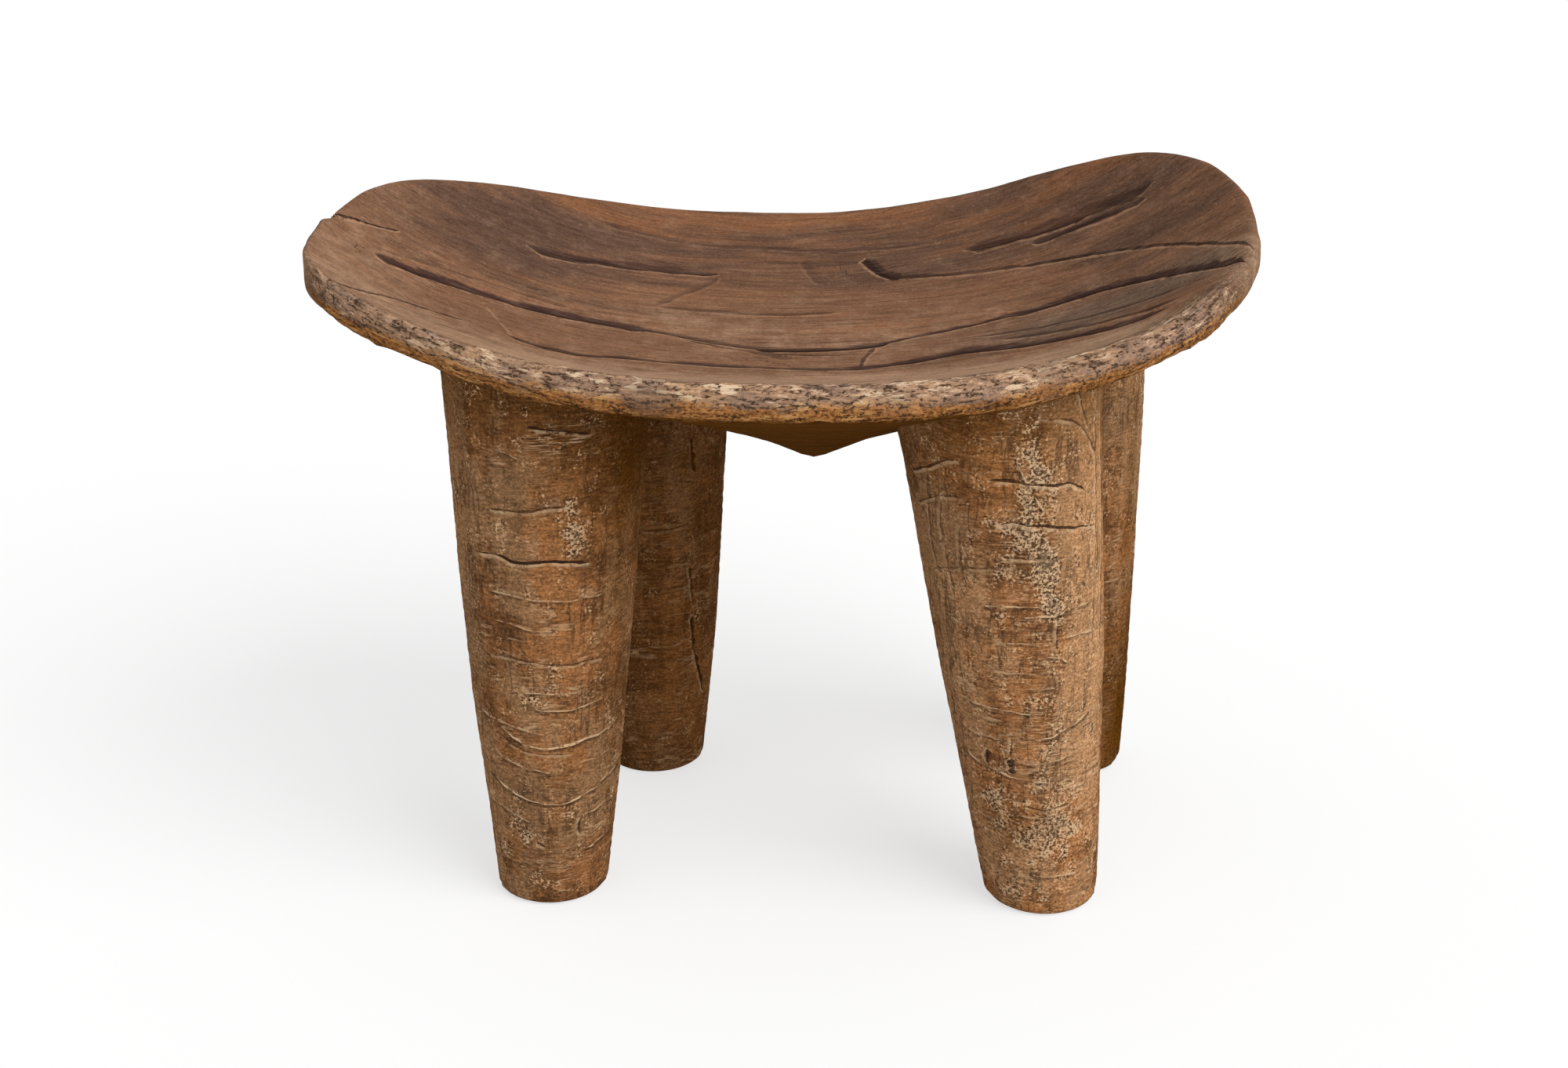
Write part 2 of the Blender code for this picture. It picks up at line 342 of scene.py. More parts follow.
def mark_lines(mesh, fields):
    for name, layers in fields.items():
        for layer, values in enumerate(layers):
            mark(mesh, f"{name}_{layer}", values)


def mesh_points(mesh, field):
    values = np.zeros(len(mesh.vertices) * 3)
    mesh.vertices.foreach_get(field, values)
    return values.reshape(-1, 3)


# Each line in the dish: its route as X and Y in millimetres, half width, depth, shade (pale below 0), layer
SEAT_LINES = [
    ((-216, -1, -198, 5, -180, 9, -157, 13, -130, 15, -104, 16, -70, 11), 7.0, 2.4, 0.97, 0),
    ((-215, -1, -206, 2, -194, 6), 7.6, 2.2, 0.95, 0),
    ((-222, 6, -205, 16, -180, 24, -150, 28, -118, 27), 1.6, 0.0, 0.28, 2),
    ((-118, 15, -88, 14, -62, 9, -24, -6, 4, -9, 40, -8), 4.2, 1.3, 0.65, 1),
    ((-20, -11, 10, -11, 30, -9, 56, -3), 5.6, 1.2, 0.9, 0),
    ((-60, 2, -20, -16, 10, -22, 44, -20), 1.4, 0.0, 0.6, 2),
    ((42, -7, 66, 6, 100, 14, 139, 21, 160, 22), 3.4, 1.2, 0.95, 1),
    ((112, 17, 150, 21, 172, 20, 192, 11, 214, -9, 238, -46), 6.0, 2.2, 0.98, 0),
    ((-152, -47, -116, -57, -88, -49, -60, -46, -23, -48, 14, -51, 48, -53), 5.8, 1.3, 0.92, 2),
    ((34, -50, 60, -42, 81, -34, 97, -31, 121, -38, 149, -47, 168, -56, 198, -63), 8.2, 1.7, 0.97, 0),
    ((110, -18, 140, -28, 170, -40, 206, -58), 2.4, 0.0, 0.6, 1),
    ((96, -6, 130, -12, 170, -22, 210, -38), 2.0, 0.0, 0.5, 2),
    ((38, -46, 40, -30, 47, -10), 1.3, 0.0, 0.65, 1),
    ((-28, -12, -12, -20, 2, -32), 4.0, 0.0, 0.3, 2),
    ((-152, 82, -129, 83, -111, 88, -94, 89, -67, 92, -38, 91), 4.4, 1.6, 0.72, 0),
    ((-76, 46, -47, 46, -10, 44, 30, 46), 2.0, 0.0, 0.42, 1),
    ((-76, 46, -66, 60, -52, 74, -40, 88), 2.4, 0.0, 0.25, 2),
    ((44, 110, 51, 96, 64, 84), 4.6, 1.8, 0.95, 0),
    ((54, 87, 86, 82, 134, 72), 1.8, 0.0, 0.65, 1),
    ((9, 110, 14, 94, 21, 82), 4.0, 0.0, 0.22, 0),
    ((98, 103, 131, 101, 158, 98, 173, 99, 208, 92), 5.6, 1.1, 0.6, 0),
    ((108, 100, 140, 97, 170, 94), 1.8, 0.0, 0.8, 2),
    ((136, 90, 172, 89, 202, 85), 3.6, 0.7, 0.68, 1),
    ((121, 74, 164, 62, 204, 39, 231, 3, 244, -34), 1.4, 0.0, 0.8, 2),
    ((-258, 8, -243, 19, -230, 29, -214, 40), 1.3, 0.8, 0.95, 2),
    ((-226, -112, -211, -86, -195, -64, -166, -50), 1.4, 0.0, 0.75, 1),
    ((-163, -8, -152, -30, -142, -55), 1.3, 0.0, -0.22, 1),
    ((-120, 124, -60, 122, 20, 120, 90, 116), 1.8, 0.0, 0.28, 2),
]


# Soft spots of each colour: the middle and spread in plan in millimetres, and the strength. The pale spots
# are dust and partly a painted sheen; the strong greyed spot darkens the left end's outer face, partly with
# painted shade
SEAT_SPOTS = {
    "pale": [
        (10, 8, 140, 44, 0.36), (-235, -40, 45, 75, 0.45), (-150, -105, 80, 45, 0.55),
        (-30, -125, 120, 50, 1.0), (90, -115, 80, 45, 1.0), (170, -100, 50, 36, 0.7),
        (240, -40, 22, 44, 0.75), (-60, 30, 40, 16, 0.15),
    ],
    "warm": [
        (150, 125, 60, 28, 0.75), (20, 135, 110, 30, 0.65), (50, 28, 45, 14, 0.55),
        (-120, 140, 70, 18, 0.6), (-180, 45, 40, 18, 0.4), (180, -105, 30, 20, 0.5),
    ],
    "smoky": [
        (150, -30, 75, 16, 0.5), (-150, 95, 60, 30, 0.7), (60, 85, 60, 16, 0.35), (195, 60, 50, 45, 0.6),
        (150, 120, 90, 40, 0.45), (0, 115, 150, 34, 0.5), (-160, 50, 60, 26, 0.55),
        (-90, 110, 60, 30, 0.3),
    ],
    "ashy": [(160, -16, 70, 28, 0.9), (215, -10, 24, 30, 0.6), (-215, 60, 34, 40, 0.35)],
    "greyed": [
        (-248, -32, 18, 40, 1.8), (-205, -118, 12, 10, 0.45), (-170, -144, 18, 10, 0.4),
        (-68, -161, 18, 12, 0.7), (-128, -156, 12, 10, 0.55), (55, -158, 22, 12, 0.45),
        (130, -142, 16, 14, 0.5), (205, -88, 30, 22, 0.55), (165, -112, 36, 16, 0.5),
    ],
}


def spotted(places, spots):
    total = np.zeros(len(places))
    for x, y, x_spread, y_spread, strength in spots:
        away = (places / MM - np.array((x, y))) / np.array((x_spread, y_spread))
        total += strength * np.exp(-(away**2).sum(axis=1))
    return total


def shaped_seat():
    points, faces, fields = seat_surface()
    over = fields["over"]
    offset = points[:, :2] - np.array(SPLIT_FOOT)
    behind = SPLIT_RUN[0] * offset[:, 1] - SPLIT_RUN[1] * offset[:, 0]
    inward = offset @ np.array(SPLIT_RUN)
    lip = smooth_step(behind, -LIP_SOFTNESS, LIP_SOFTNESS) * smooth_step(behind, LIP_LENGTH, 0.0)
    lip *= smooth_step(inward, LIP_REACH, 0.0)
    lip *= np.where(over > 1, smooth_step(over, LIP_UNDER, 1.0), smooth_step(over, LIP_INNER, 0.0))
    points += np.outer(lip, (SPLIT_STEP, 0, -SPLIT_STEP * LIP_DROP))
    corner = smooth_step(behind, -CORNER_RUN, 0.0) * (behind < LIP_SOFTNESS / 2)
    corner *= smooth_step(over, CORNER_INNER, 0.0) * smooth_step(over, *CORNER_FADE)
    corner *= smooth_step(inward, CORNER_REACH, 0.0)
    points += np.outer(corner, (CORNER_WEAR, 0, -CORNER_WEAR))
    mesh = bpy.data.meshes.new("seat_carving")
    mesh.from_pydata(points.tolist(), [], faces)
    mesh.update()
    normal = mesh_points(mesh, "normal")

    turn = np.degrees(np.arctan2(points[:, 1] - WIDEST_LINE, points[:, 0]))
    crust = np.interp(turn, CRUST_TURNS, CRUST_SHARES)
    reach = np.interp(turn, CRUST_TURNS, CRUST_REACHES)
    rim = np.where(over > 1, smooth_step(over, UNDER_EDGE, 1.0), smooth_step(over, -reach, RIM_START))
    rim *= crust
    depth, lines = cut_lines(points[:, :2], SEAT_LINES)
    top = over < LINES_END
    depth = np.where(top, depth, 0)
    lines["line_width"] = np.where(top, lines["line_width"], NO_LINE)
    push = ADZE_HEIGHT * lumps(points, ADZE_LUMPS, 1)
    push += FIBRE_HEIGHT * lumps(points, FIBRE_LUMPS, 2, 2) * (1 - rim) * smooth_step(over, 0.0, SMOOTH_EDGE)
    push += CRUST_HEIGHT * rim**2 * lumps(points, CRUST_LUMPS, 3)
    push += CHIP_HEIGHT * rim**2 * lumps(points, CHIP_LUMPS, 4, 2)
    push -= depth
    points = points + normal * push[:, None]
    mesh.vertices.foreach_set("co", points.ravel())
    mesh.update()
    mesh.shade_smooth()
    mark(mesh, "rim", rim)
    for name, values in fields.items():
        mark(mesh, name, values)
    for name, spots in SEAT_SPOTS.items():
        mark(mesh, name, np.where(over < 1, spotted(points[:, :2], spots), 0))
    mark_lines(mesh, lines)
    return mesh


def add_node(tree, kind, inputs=None, **settings):
    """Add one node, set its fields, and fill or link its inputs."""
    node = tree.nodes.new(kind)
    for field, value in settings.items():
        setattr(node, field, value)
    for socket, value in (inputs or {}).items():
        if isinstance(value, bpy.types.NodeSocket):
            tree.links.new(value, node.inputs[socket])
        else:
            node.inputs[socket].default_value = value
    return node


def tree_of(*values):
    """The node tree of the first socket among some values."""
    return next(value.id_data for value in values if isinstance(value, bpy.types.NodeSocket))


def reckon(operation, first, second=0.0, clamped=False):
    tree = tree_of(first, second)
    node = add_node(tree, "ShaderNodeMath", {0: first, 1: second}, operation=operation, use_clamp=clamped)
    return node.outputs[0]


def ease(value, low, high, start=0.0, end=1.0):
    """A smooth step from start to end as the value goes from low to high."""
    ends = {"Value": value, "From Min": low, "From Max": high, "To Min": start, "To Max": end}
    node = add_node(value.id_data, "ShaderNodeMapRange", ends, interpolation_type="SMOOTHSTEP")
    return node.outputs["Result"]


def tint(share, first, second, mode="MIX"):
    colours = {0: share, 6: first, 7: second}
    tree = tree_of(share, first, second)
    return add_node(tree, "ShaderNodeMix", colours, data_type="RGBA", blend_type=mode).outputs[2]


plus = partial(reckon, "ADD")
minus = partial(reckon, "SUBTRACT")
larger = partial(reckon, "MAXIMUM")


def times(first, *others):
    for other in others:
        first = reckon("MULTIPLY", first, other)
    return first


def summed(*parts):
    """The sum of values, each times its weight."""
    total = 0.0
    for value, weight in parts:
        total = plus(times(value, weight), total)
    return total


def dimmed(colour, shade):
    return tint(1.0, colour, shade, "MULTIPLY")


def thread(value, level, far, close):
    """A thin line where a value passes a level."""
    return ease(reckon("ABSOLUTE", minus(value, level)), far, close)


def shift(value, other, amount):
    """A value moved up or down by another one, which is 0.5 where it moves nothing."""
    return plus(value, times(minus(other, 0.5), amount))


def joined(operation, first, second):
    node = add_node(first.id_data, "ShaderNodeVectorMath", {0: first, 1: second}, operation=operation)
    return node.outputs[0]


def stretch(vector, scale):
    return joined("MULTIPLY", vector, scale)


def vector_of(x, y, z=0.0):
    return add_node(x.id_data, "ShaderNodeCombineXYZ", {0: x, 1: y, 2: z}).outputs[0]


def object_place(tree):
    return tree.nodes.new("ShaderNodeTexCoord").outputs["Object"]


def cloud(vector, detail, roughness):
    """Noise of about one lump per unit of the vector, from 0 to 1."""
    field = {"Vector": vector, "Scale": 1.0, "Detail": detail, "Roughness": roughness}
    return add_node(vector.id_data, "ShaderNodeTexNoise", field).outputs["Fac"]


def patches(vector, scale, detail, roughness):
    return cloud(stretch(vector, scale), detail, roughness)


def new_group(name, inputs, outputs):
    """An empty node group with named values in and out, and the means to put a value out."""
    group = bpy.data.node_groups.new(name, "ShaderNodeTree")
    for socket, value in inputs.items():
        kind = "NodeSocketVector" if isinstance(value, tuple) else "NodeSocketFloat"
        made = group.interface.new_socket(name=socket, in_out="INPUT", socket_type=kind)
        made.default_value = value
    for socket in outputs:
        group.interface.new_socket(name=socket, in_out="OUTPUT", socket_type="NodeSocketFloat")
    ends = group.nodes.new("NodeGroupOutput").inputs

    def put(socket, value):
        group.links.new(value, ends[socket])

    return group, group.nodes.new("NodeGroupInput").outputs, put


def log_grain():
    """Fibres, broad streaks and open pores, by how many there are to the metre along, across and up."""
    sizes = {"Along": 9, "Across": 300, "Up": 60}
    group, given, put = new_group("log_grain", sizes, ("Fibre", "Streak", "Pores"))
    place = object_place(group)
    sway = add_node(group, "ShaderNodeTexNoise", {"Vector": place, "Scale": 7, "Detail": 2}).outputs["Color"]
    sway = stretch(sway, (0.0, 0.016, 0.008))
    place = joined("ADD", sway, place)
    fine = stretch(place, vector_of(given["Along"], given["Across"], given["Up"]))
    put("Fibre", cloud(fine, 4, 0.75))
    put("Streak", patches(fine, (0.35, 0.13, 0.13), 5, 0.66))
    pores = patches(fine, (0.8, 1.7, 1.7), 2, 0.6)
    put("Pores", ease(pores, 0.6, 0.72))
    return group


def worn_crust():
    """Weathered wood by flakes to the metre: from pits at 0 to chips at 1, each flake's own level, the gaps
    between flakes, and where chips gather."""
    sizes = {"Place": (0.0, 0.0, 0.0), "Along": 120, "Across": 330}
    group, given, put = new_group("worn_crust", sizes, ("Crust", "Flakes", "Gaps", "Clusters"))
    fine = stretch(given["Place"], vector_of(given["Along"], given["Across"], given["Across"]))
    put("Crust", cloud(fine, 5, 0.72))
    bend = {"Vector": fine, "Scale": 1.1, "Detail": 3, "Roughness": 0.6}
    bend = stretch(add_node(group, "ShaderNodeTexNoise", bend).outputs["Color"], (1.6, 1.6, 1.6))
    bent = {"Vector": joined("ADD", fine, bend), "Scale": 1.0}
    cells = add_node(group, "ShaderNodeTexVoronoi", bent)
    own = add_node(group, "ShaderNodeSeparateColor", {0: cells.outputs["Color"]}).outputs[0]
    put("Flakes", own)
    seams = add_node(group, "ShaderNodeTexVoronoi", bent, feature="DISTANCE_TO_EDGE")
    put("Gaps", ease(seams.outputs["Distance"], 0.16, 0.04))
    put("Clusters", patches(fine, (0.16, 0.12, 0.12), 4, 0.65))
    return group


WANDER = 0.0026  # how far a check strays from its line, in metres
THINNEST = 0.0001


def check_line():
    """An open check, by its line's signed distance and half width, with its deep core and its near lip, where
    a dark check gets a painted highlight and a pale ridge a painted shadow.
    """
    sizes = {"Distance": 1.0, "Half Width": 0.0, "Fray": 0.3, "Splinters": 0.0}
    group, given, put = new_group("check_line", sizes, ("Opening", "Lip Light And Shade", "Core"))
    place = object_place(group)
    wander = times(minus(patches(place, (60, 90, 90), 3, 0.55), 0.5), WANDER)
    uneven = patches(place, (42, 120, 120), 3, 0.55)
    uneven = times(ease(uneven, 0.3, 0.7, -1.0, 1.0), given["Fray"])
    splinters = patches(place, (14, 420, 200), 3, 0.6)
    splinters = times(ease(splinters, 0.32, 0.68, -1.0, 1.0), given["Splinters"])
    uneven = plus(uneven, splinters)
    half_width = given["Half Width"]
    away = plus(given["Distance"], wander)
    size = times(half_width, plus(uneven, 1.0))
    inside = minus(size, reckon("ABSOLUTE", away))
    far_side = reckon("GREATER_THAN", away, 0.0)
    soft = times(half_width, ease(far_side, 0.0, 1.0, 0.25, 0.42))
    soft = larger(soft, THINNEST)
    put("Opening", ease(reckon("DIVIDE", inside, soft), -0.1, 1.0))
    # Painted light along the near lip: a highlight beside a dark check, a shadow beside a pale ridge.
    lip = times(ease(inside, 0.0002, -0.0004), ease(inside, -0.0026, -0.001))
    near = times(reckon("GREATER_THAN", half_width, 0.0), ease(far_side, 1.0, 0.0))
    put("Lip Light And Shade", times(lip, near))
    middle = reckon("ABSOLUTE", plus(away, times(size, 0.35)))
    core = reckon("DIVIDE", middle, larger(size, THINNEST))
    put("Core", ease(core, 0.85, 0.25))
    return group


LOG_GRAIN = log_grain()
WORN_CRUST = worn_crust()
CHECK_LINE = check_line()


def use_group(tree, group, inputs):
    return add_node(tree, "ShaderNodeGroup", inputs, node_tree=group).outputs


def mesh_value(tree, name):
    return add_node(tree, "ShaderNodeAttribute", attribute_name=name).outputs["Fac"]


def all_checks(tree, fray, lip, splinters=0.0):
    """The three layers of lines joined: how dark they are, how pale, how wide the widest is, and its core.
    The dark takes in painted shadow under pale ridges, the pale painted highlights on the lips of dark
    checks.
    """
    place = object_place(tree)
    broken = ease(patches(place, (160, 160, 160), 3, 0.7), 0.36, 0.54)
    widest = None
    for layer in range(LAYERS):
        half_width = mesh_value(tree, f"line_width_{layer}")
        line = {"Distance": mesh_value(tree, f"line_distance_{layer}"), "Half Width": half_width}
        made = use_group(tree, CHECK_LINE, line | {"Fray": fray, "Splinters": splinters})
        shade = mesh_value(tree, f"line_shade_{layer}")
        dark = larger(shade, 0.0)
        pale = larger(times(shade, -1.0), 0.0)
        # Painted light on the near lips: a highlight for dark checks, a shadow for pale ridges.
        lip_shading = times(made["Lip Light And Shade"], broken, lip)
        ridge = times(made["Opening"], broken)
        found = (
            larger(times(made["Opening"], dark), times(lip_shading, pale)),
            larger(times(ridge, pale), times(lip_shading, dark)),
            times(made["Opening"], half_width),
            times(made["Core"], dark),
        )
        widest = found if layer == 0 else [larger(*pair) for pair in zip(widest, found)]
    return widest


def wood_finish(name):
    """A new material with its shader, and the tree that it is built in."""
    material = bpy.data.materials.new(name)
    material.use_nodes = True
    tree = material.node_tree
    shader = tree.nodes["Principled BSDF"]
    shader.inputs["Specular IOR Level"].default_value = 0.0
    return material, tree, shader


def dress(tree, shader, colour, height, roughness):
    """Link a wood's colour, its fine relief and its roughness."""
    bump = add_node(tree, "ShaderNodeBump", {"Strength": 1.0, "Distance": MM, "Height": height})
    tree.links.new(colour, shader.inputs["Base Color"])
    tree.links.new(bump.outputs["Normal"], shader.inputs["Normal"])
    tree.links.new(roughness, shader.inputs["Roughness"])


DISH_BROWN = (0.203, 0.101, 0.057, 1.0)
RED_BROWN = (0.25, 0.104, 0.045, 1.0)
SMOKE_BROWN = (0.098, 0.056, 0.039, 1.0)
# Ashy grey patches on the dish, and painted glints in the grooves.
ASH_AND_GLINT_BROWN = (0.142, 0.094, 0.066, 1.0)
# Dust, and a painted sheen, on the dish.
DUST_AND_SHEEN_TAN = (0.376, 0.234, 0.146, 1.0)
CHECK_BLACK = (0.02, 0.011, 0.009, 1.0)
GROOVE_BROWN = (0.046, 0.023, 0.02, 1.0)
RIM_CREAM = (0.76, 0.57, 0.39, 1.0)
RIM_TAN = (0.52, 0.31, 0.18, 1.0)
RIM_GREY = (0.29, 0.18, 0.125, 1.0)
# A dark grey-brown; on the left end's outer face it is partly painted shade.
GREYED_BROWN = (0.15, 0.098, 0.076, 1.0)
RIM_HONEY = (0.55, 0.29, 0.105, 1.0)
RIM_GOLD = (0.39, 0.16, 0.048, 1.0)
RIM_UMBER = (0.23, 0.092, 0.026, 1.0)
PIT_BROWN = (0.04, 0.02, 0.012, 1.0)
RIM_GAP = (0.062, 0.034, 0.02, 1.0)
# Painted shade: the dark brown laid over the seat's underside.
UNDERSIDE_SHADE_BROWN = (0.095, 0.036, 0.005, 1.0)


def seat_wood():
    material, tree, shader = wood_finish("seat_wood")
    place = object_place(tree)
    grain = use_group(tree, LOG_GRAIN, {"Along": 22, "Across": 440, "Up": 130})
    rim_place = vector_of(mesh_value(tree, "rim_along"), mesh_value(tree, "rim_across"))
    flakes = use_group(tree, WORN_CRUST, {"Place": rim_place, "Along": 105, "Across": 360})
    grit = use_group(tree, WORN_CRUST, {"Place": place, "Along": 520, "Across": 660})
    fibre = grain["Fibre"]
    warm = shift(mesh_value(tree, "warm"), grain["Streak"], 2.4)
    smoky = shift(mesh_value(tree, "smoky"), grain["Streak"], -2.4)
    pale = shift(mesh_value(tree, "pale"), grit["Clusters"], 1.4)
    colour = tint(ease(warm, 0.05, 1.0, 0.0, 0.75), DISH_BROWN, RED_BROWN)
    colour = tint(ease(smoky, 0.0, 0.9, 0.0, 0.85), colour, SMOKE_BROWN)
    ashy = shift(mesh_value(tree, "ashy"), grain["Streak"], 1.2)
    colour = tint(ease(ashy, 0.1, 0.9, 0.0, 0.85), colour, ASH_AND_GLINT_BROWN)
    # Pale dusty patches over the front and ends, partly a painted sheen.
    colour = tint(ease(pale, 0.0, 1.0, 0.0, 0.85), colour, DUST_AND_SHEEN_TAN)
    hewn = ease(patches(place, (16, 46, 46), 4, 0.6), 0.3, 0.7, 0.9, 1.1)
    speckle = ease(grit["Crust"], 0.3, 0.7, 0.79, 1.21)
    shade = times(hewn, speckle, ease(fibre, 0.3, 0.7, 0.78, 1.22))
    colour = dimmed(colour, shade)
    colour = tint(times(grain["Pores"], 0.45), colour, PIT_BROWN)
    colour = tint(ease(grit["Crust"], 0.645, 0.72, 0.0, 0.7), colour, RIM_TAN)

    rim = mesh_value(tree, "rim")
    over = mesh_value(tree, "over")
    gathered = flakes["Clusters"]
    low = shift(mesh_value(tree, "down"), flakes["Crust"], 1.2)
    low = ease(shift(low, gathered, 0.8), 0.48, 0.8)
    chip = shift(shift(flakes["Flakes"], flakes["Crust"], 4), gathered, 2)
    upper = tint(ease(gathered, 0.36, 0.62), RIM_GREY, RIM_TAN)
    lower = tint(ease(gathered, 0.38, 0.62), RIM_UMBER, RIM_GOLD)
    crust = tint(low, upper, lower)
    rough = ease(flakes["Crust"], 0.36, 0.62, 0.66, 1.28)
    uneven = ease(flakes["Flakes"], 0.0, 1.0, 0.86, 1.14)
    crust = dimmed(crust, times(rough, speckle, uneven))
    crust = tint(ease(chip, 0.84, 1.1, 0.0, 0.9), crust, tint(low, RIM_CREAM, RIM_HONEY))
    sunk = ease(shift(flakes["Crust"], grit["Crust"], 0.9), 0.475, 0.355, 0.0, 0.9)
    sand = times(low, ease(grit["Crust"], 0.54, 0.64, 0.0, 0.85))
    crust = tint(sand, crust, RIM_HONEY)
    hollow = times(low, ease(grit["Crust"], 0.46, 0.37, 0.0, 0.85))
    crust = tint(hollow, crust, RIM_GAP)
    pits = times(flakes["Gaps"], sunk)
    pits = larger(pits, ease(chip, -0.25, -0.5, 0.0, 0.75))
    crust = tint(pits, crust, RIM_GAP)
    # Greyed darker patches round the rim.
    greyed = ease(shift(mesh_value(tree, "greyed"), gathered, 2.2), 0.3, 1.0, 0.0, 0.7)
    greyed_colour = dimmed(GREYED_BROWN, shade)
    crust = tint(greyed, crust, greyed_colour)
    rim_share = ease(shift(rim, flakes["Crust"], 1.6), 0.3, 0.9)
    # The left end's outer face is greyed darker: partly the wood's own colour, partly painted shade.
    facet = times(ease(mesh_value(tree, "greyed"), 0.5, 1.0), ease(over, 0.05, 0.25))
    colour = tint(facet, colour, greyed_colour)
    colour = tint(rim_share, colour, crust)
    # The underside, from the rim's foot inward, is painted dark brown: painted shade under the seat.
    underside_shade = ease(over, 0.93, 1.03, 0.0, 0.95)
    colour = tint(underside_shade, colour, dimmed(UNDERSIDE_SHADE_BROWN, shade))

    dark, pale_line, breadth, core = all_checks(tree, 0.22, 0.45, 0.06)
    wide = ease(breadth, 0.001, 0.003)
    groove = tint(wide, CHECK_BLACK, GROOVE_BROWN)
    # Grey streaks along the wider grooves: partly grey fibres, partly painted glints.
    groove = tint(ease(fibre, 0.46, 0.66, 0.0, 0.6), groove, ASH_AND_GLINT_BROWN)
    shaded = times(dark, ease(wide, 0.0, 1.0, 1.0, 0.93))
    streak = times(core, wide, ease(fibre, 0.35, 0.62, 0.95, 0.55))
    # The pale lines carry painted highlights along the near lips of the checks and grooves; the dark carries
    # painted shadow under the pale scratch.
    colour = tint(pale_line, colour, RIM_TAN)
    colour = tint(shaded, colour, groove)
    colour = tint(streak, colour, CHECK_BLACK)

    chips = summed((flakes["Crust"], 2), (pits, -1.0), (flakes["Flakes"], 0.5))
    worn = summed((fibre, 0.4), (grit["Crust"], 0.3), (grain["Pores"], -0.2), (dark, -0.3))
    height = plus(worn, times(chips, rim_share))
    dress(tree, shader, colour, height, ease(rim_share, 0.0, 1.0, 0.6, 0.9))
    return material


def stood(name, data):
    thing = bpy.data.objects.new(name, data)
    bpy.context.scene.collection.objects.link(thing)
    return thing


seat = stood("carved_seat", shaped_seat())
seat.data.materials.append(seat_wood())
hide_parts("seat")
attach(seat, "root")

# Legs
# Four stout round legs, carved from the same log as the seat, so their fibres lie level and run on into it.
# Each is adzed down in long upright flats, tapers to a flat foot, and has dried into level checks.
FOOT_RADIUS = 0.03
SHOULDER_RADIUS = 0.0538
LEG_SWELL = 0.0023
FOOT_ROUND = 0.005
GAUGE_HEIGHT = 0.3
LEG_COLUMNS = 224
LEG_RINGS = 240
FOOT_LOOPS = 4
FOOT_FACE_LOOPS = 6
SINK = 0.004  # each leg's top runs this far up into the seat
SHOULDER_FLARE = 0.0015
FLARE_HEIGHT = 0.008
TOP_TRIES = 4
FACE_START = 0.3
FOOT_EASE = 0.004
# How far below the seat the painted shade on each leg's top fades out
SEAT_SHADOW_DROP = 0.07
LUMP_RADIUS = 0.045
# Heights of the lumps in metres, and how many there are to the metre along, across and up
FLAT_HEIGHT = 0.0016
FLAT_LUMPS = (75, 75, 4)
MEAN_FLAT = 0.25
SWELL_HEIGHT = 0.0009
SWELL_LUMPS = (16, 16, 9)
RIDGE_HEIGHT = 0.0003
RIDGE_LUMPS = (60, 90, 260)
HAIR_LINE = (0.5, 0.0)  # the half width and depth of a line that gives none

cad_seat = frame["nodes"]["seat"].data
seat_under = BVHTree.FromPolygons(
    [vertex.co for vertex in cad_seat.vertices], [face.vertices for face in cad_seat.polygons]
)


def leg_radius(height):
    share = height / GAUGE_HEIGHT
    taper = FOOT_RADIUS + (SHOULDER_RADIUS - FOOT_RADIUS) * share
    return taper + LEG_SWELL * 4 * share * (1 - share)


def seat_over(x, y):
    """Height of the underside of the seat over a point of the floor."""
    hit = seat_under.ray_cast(Vector((x, y, 0.0)), Vector((0, 0, 1)))[0]
    return hit.z


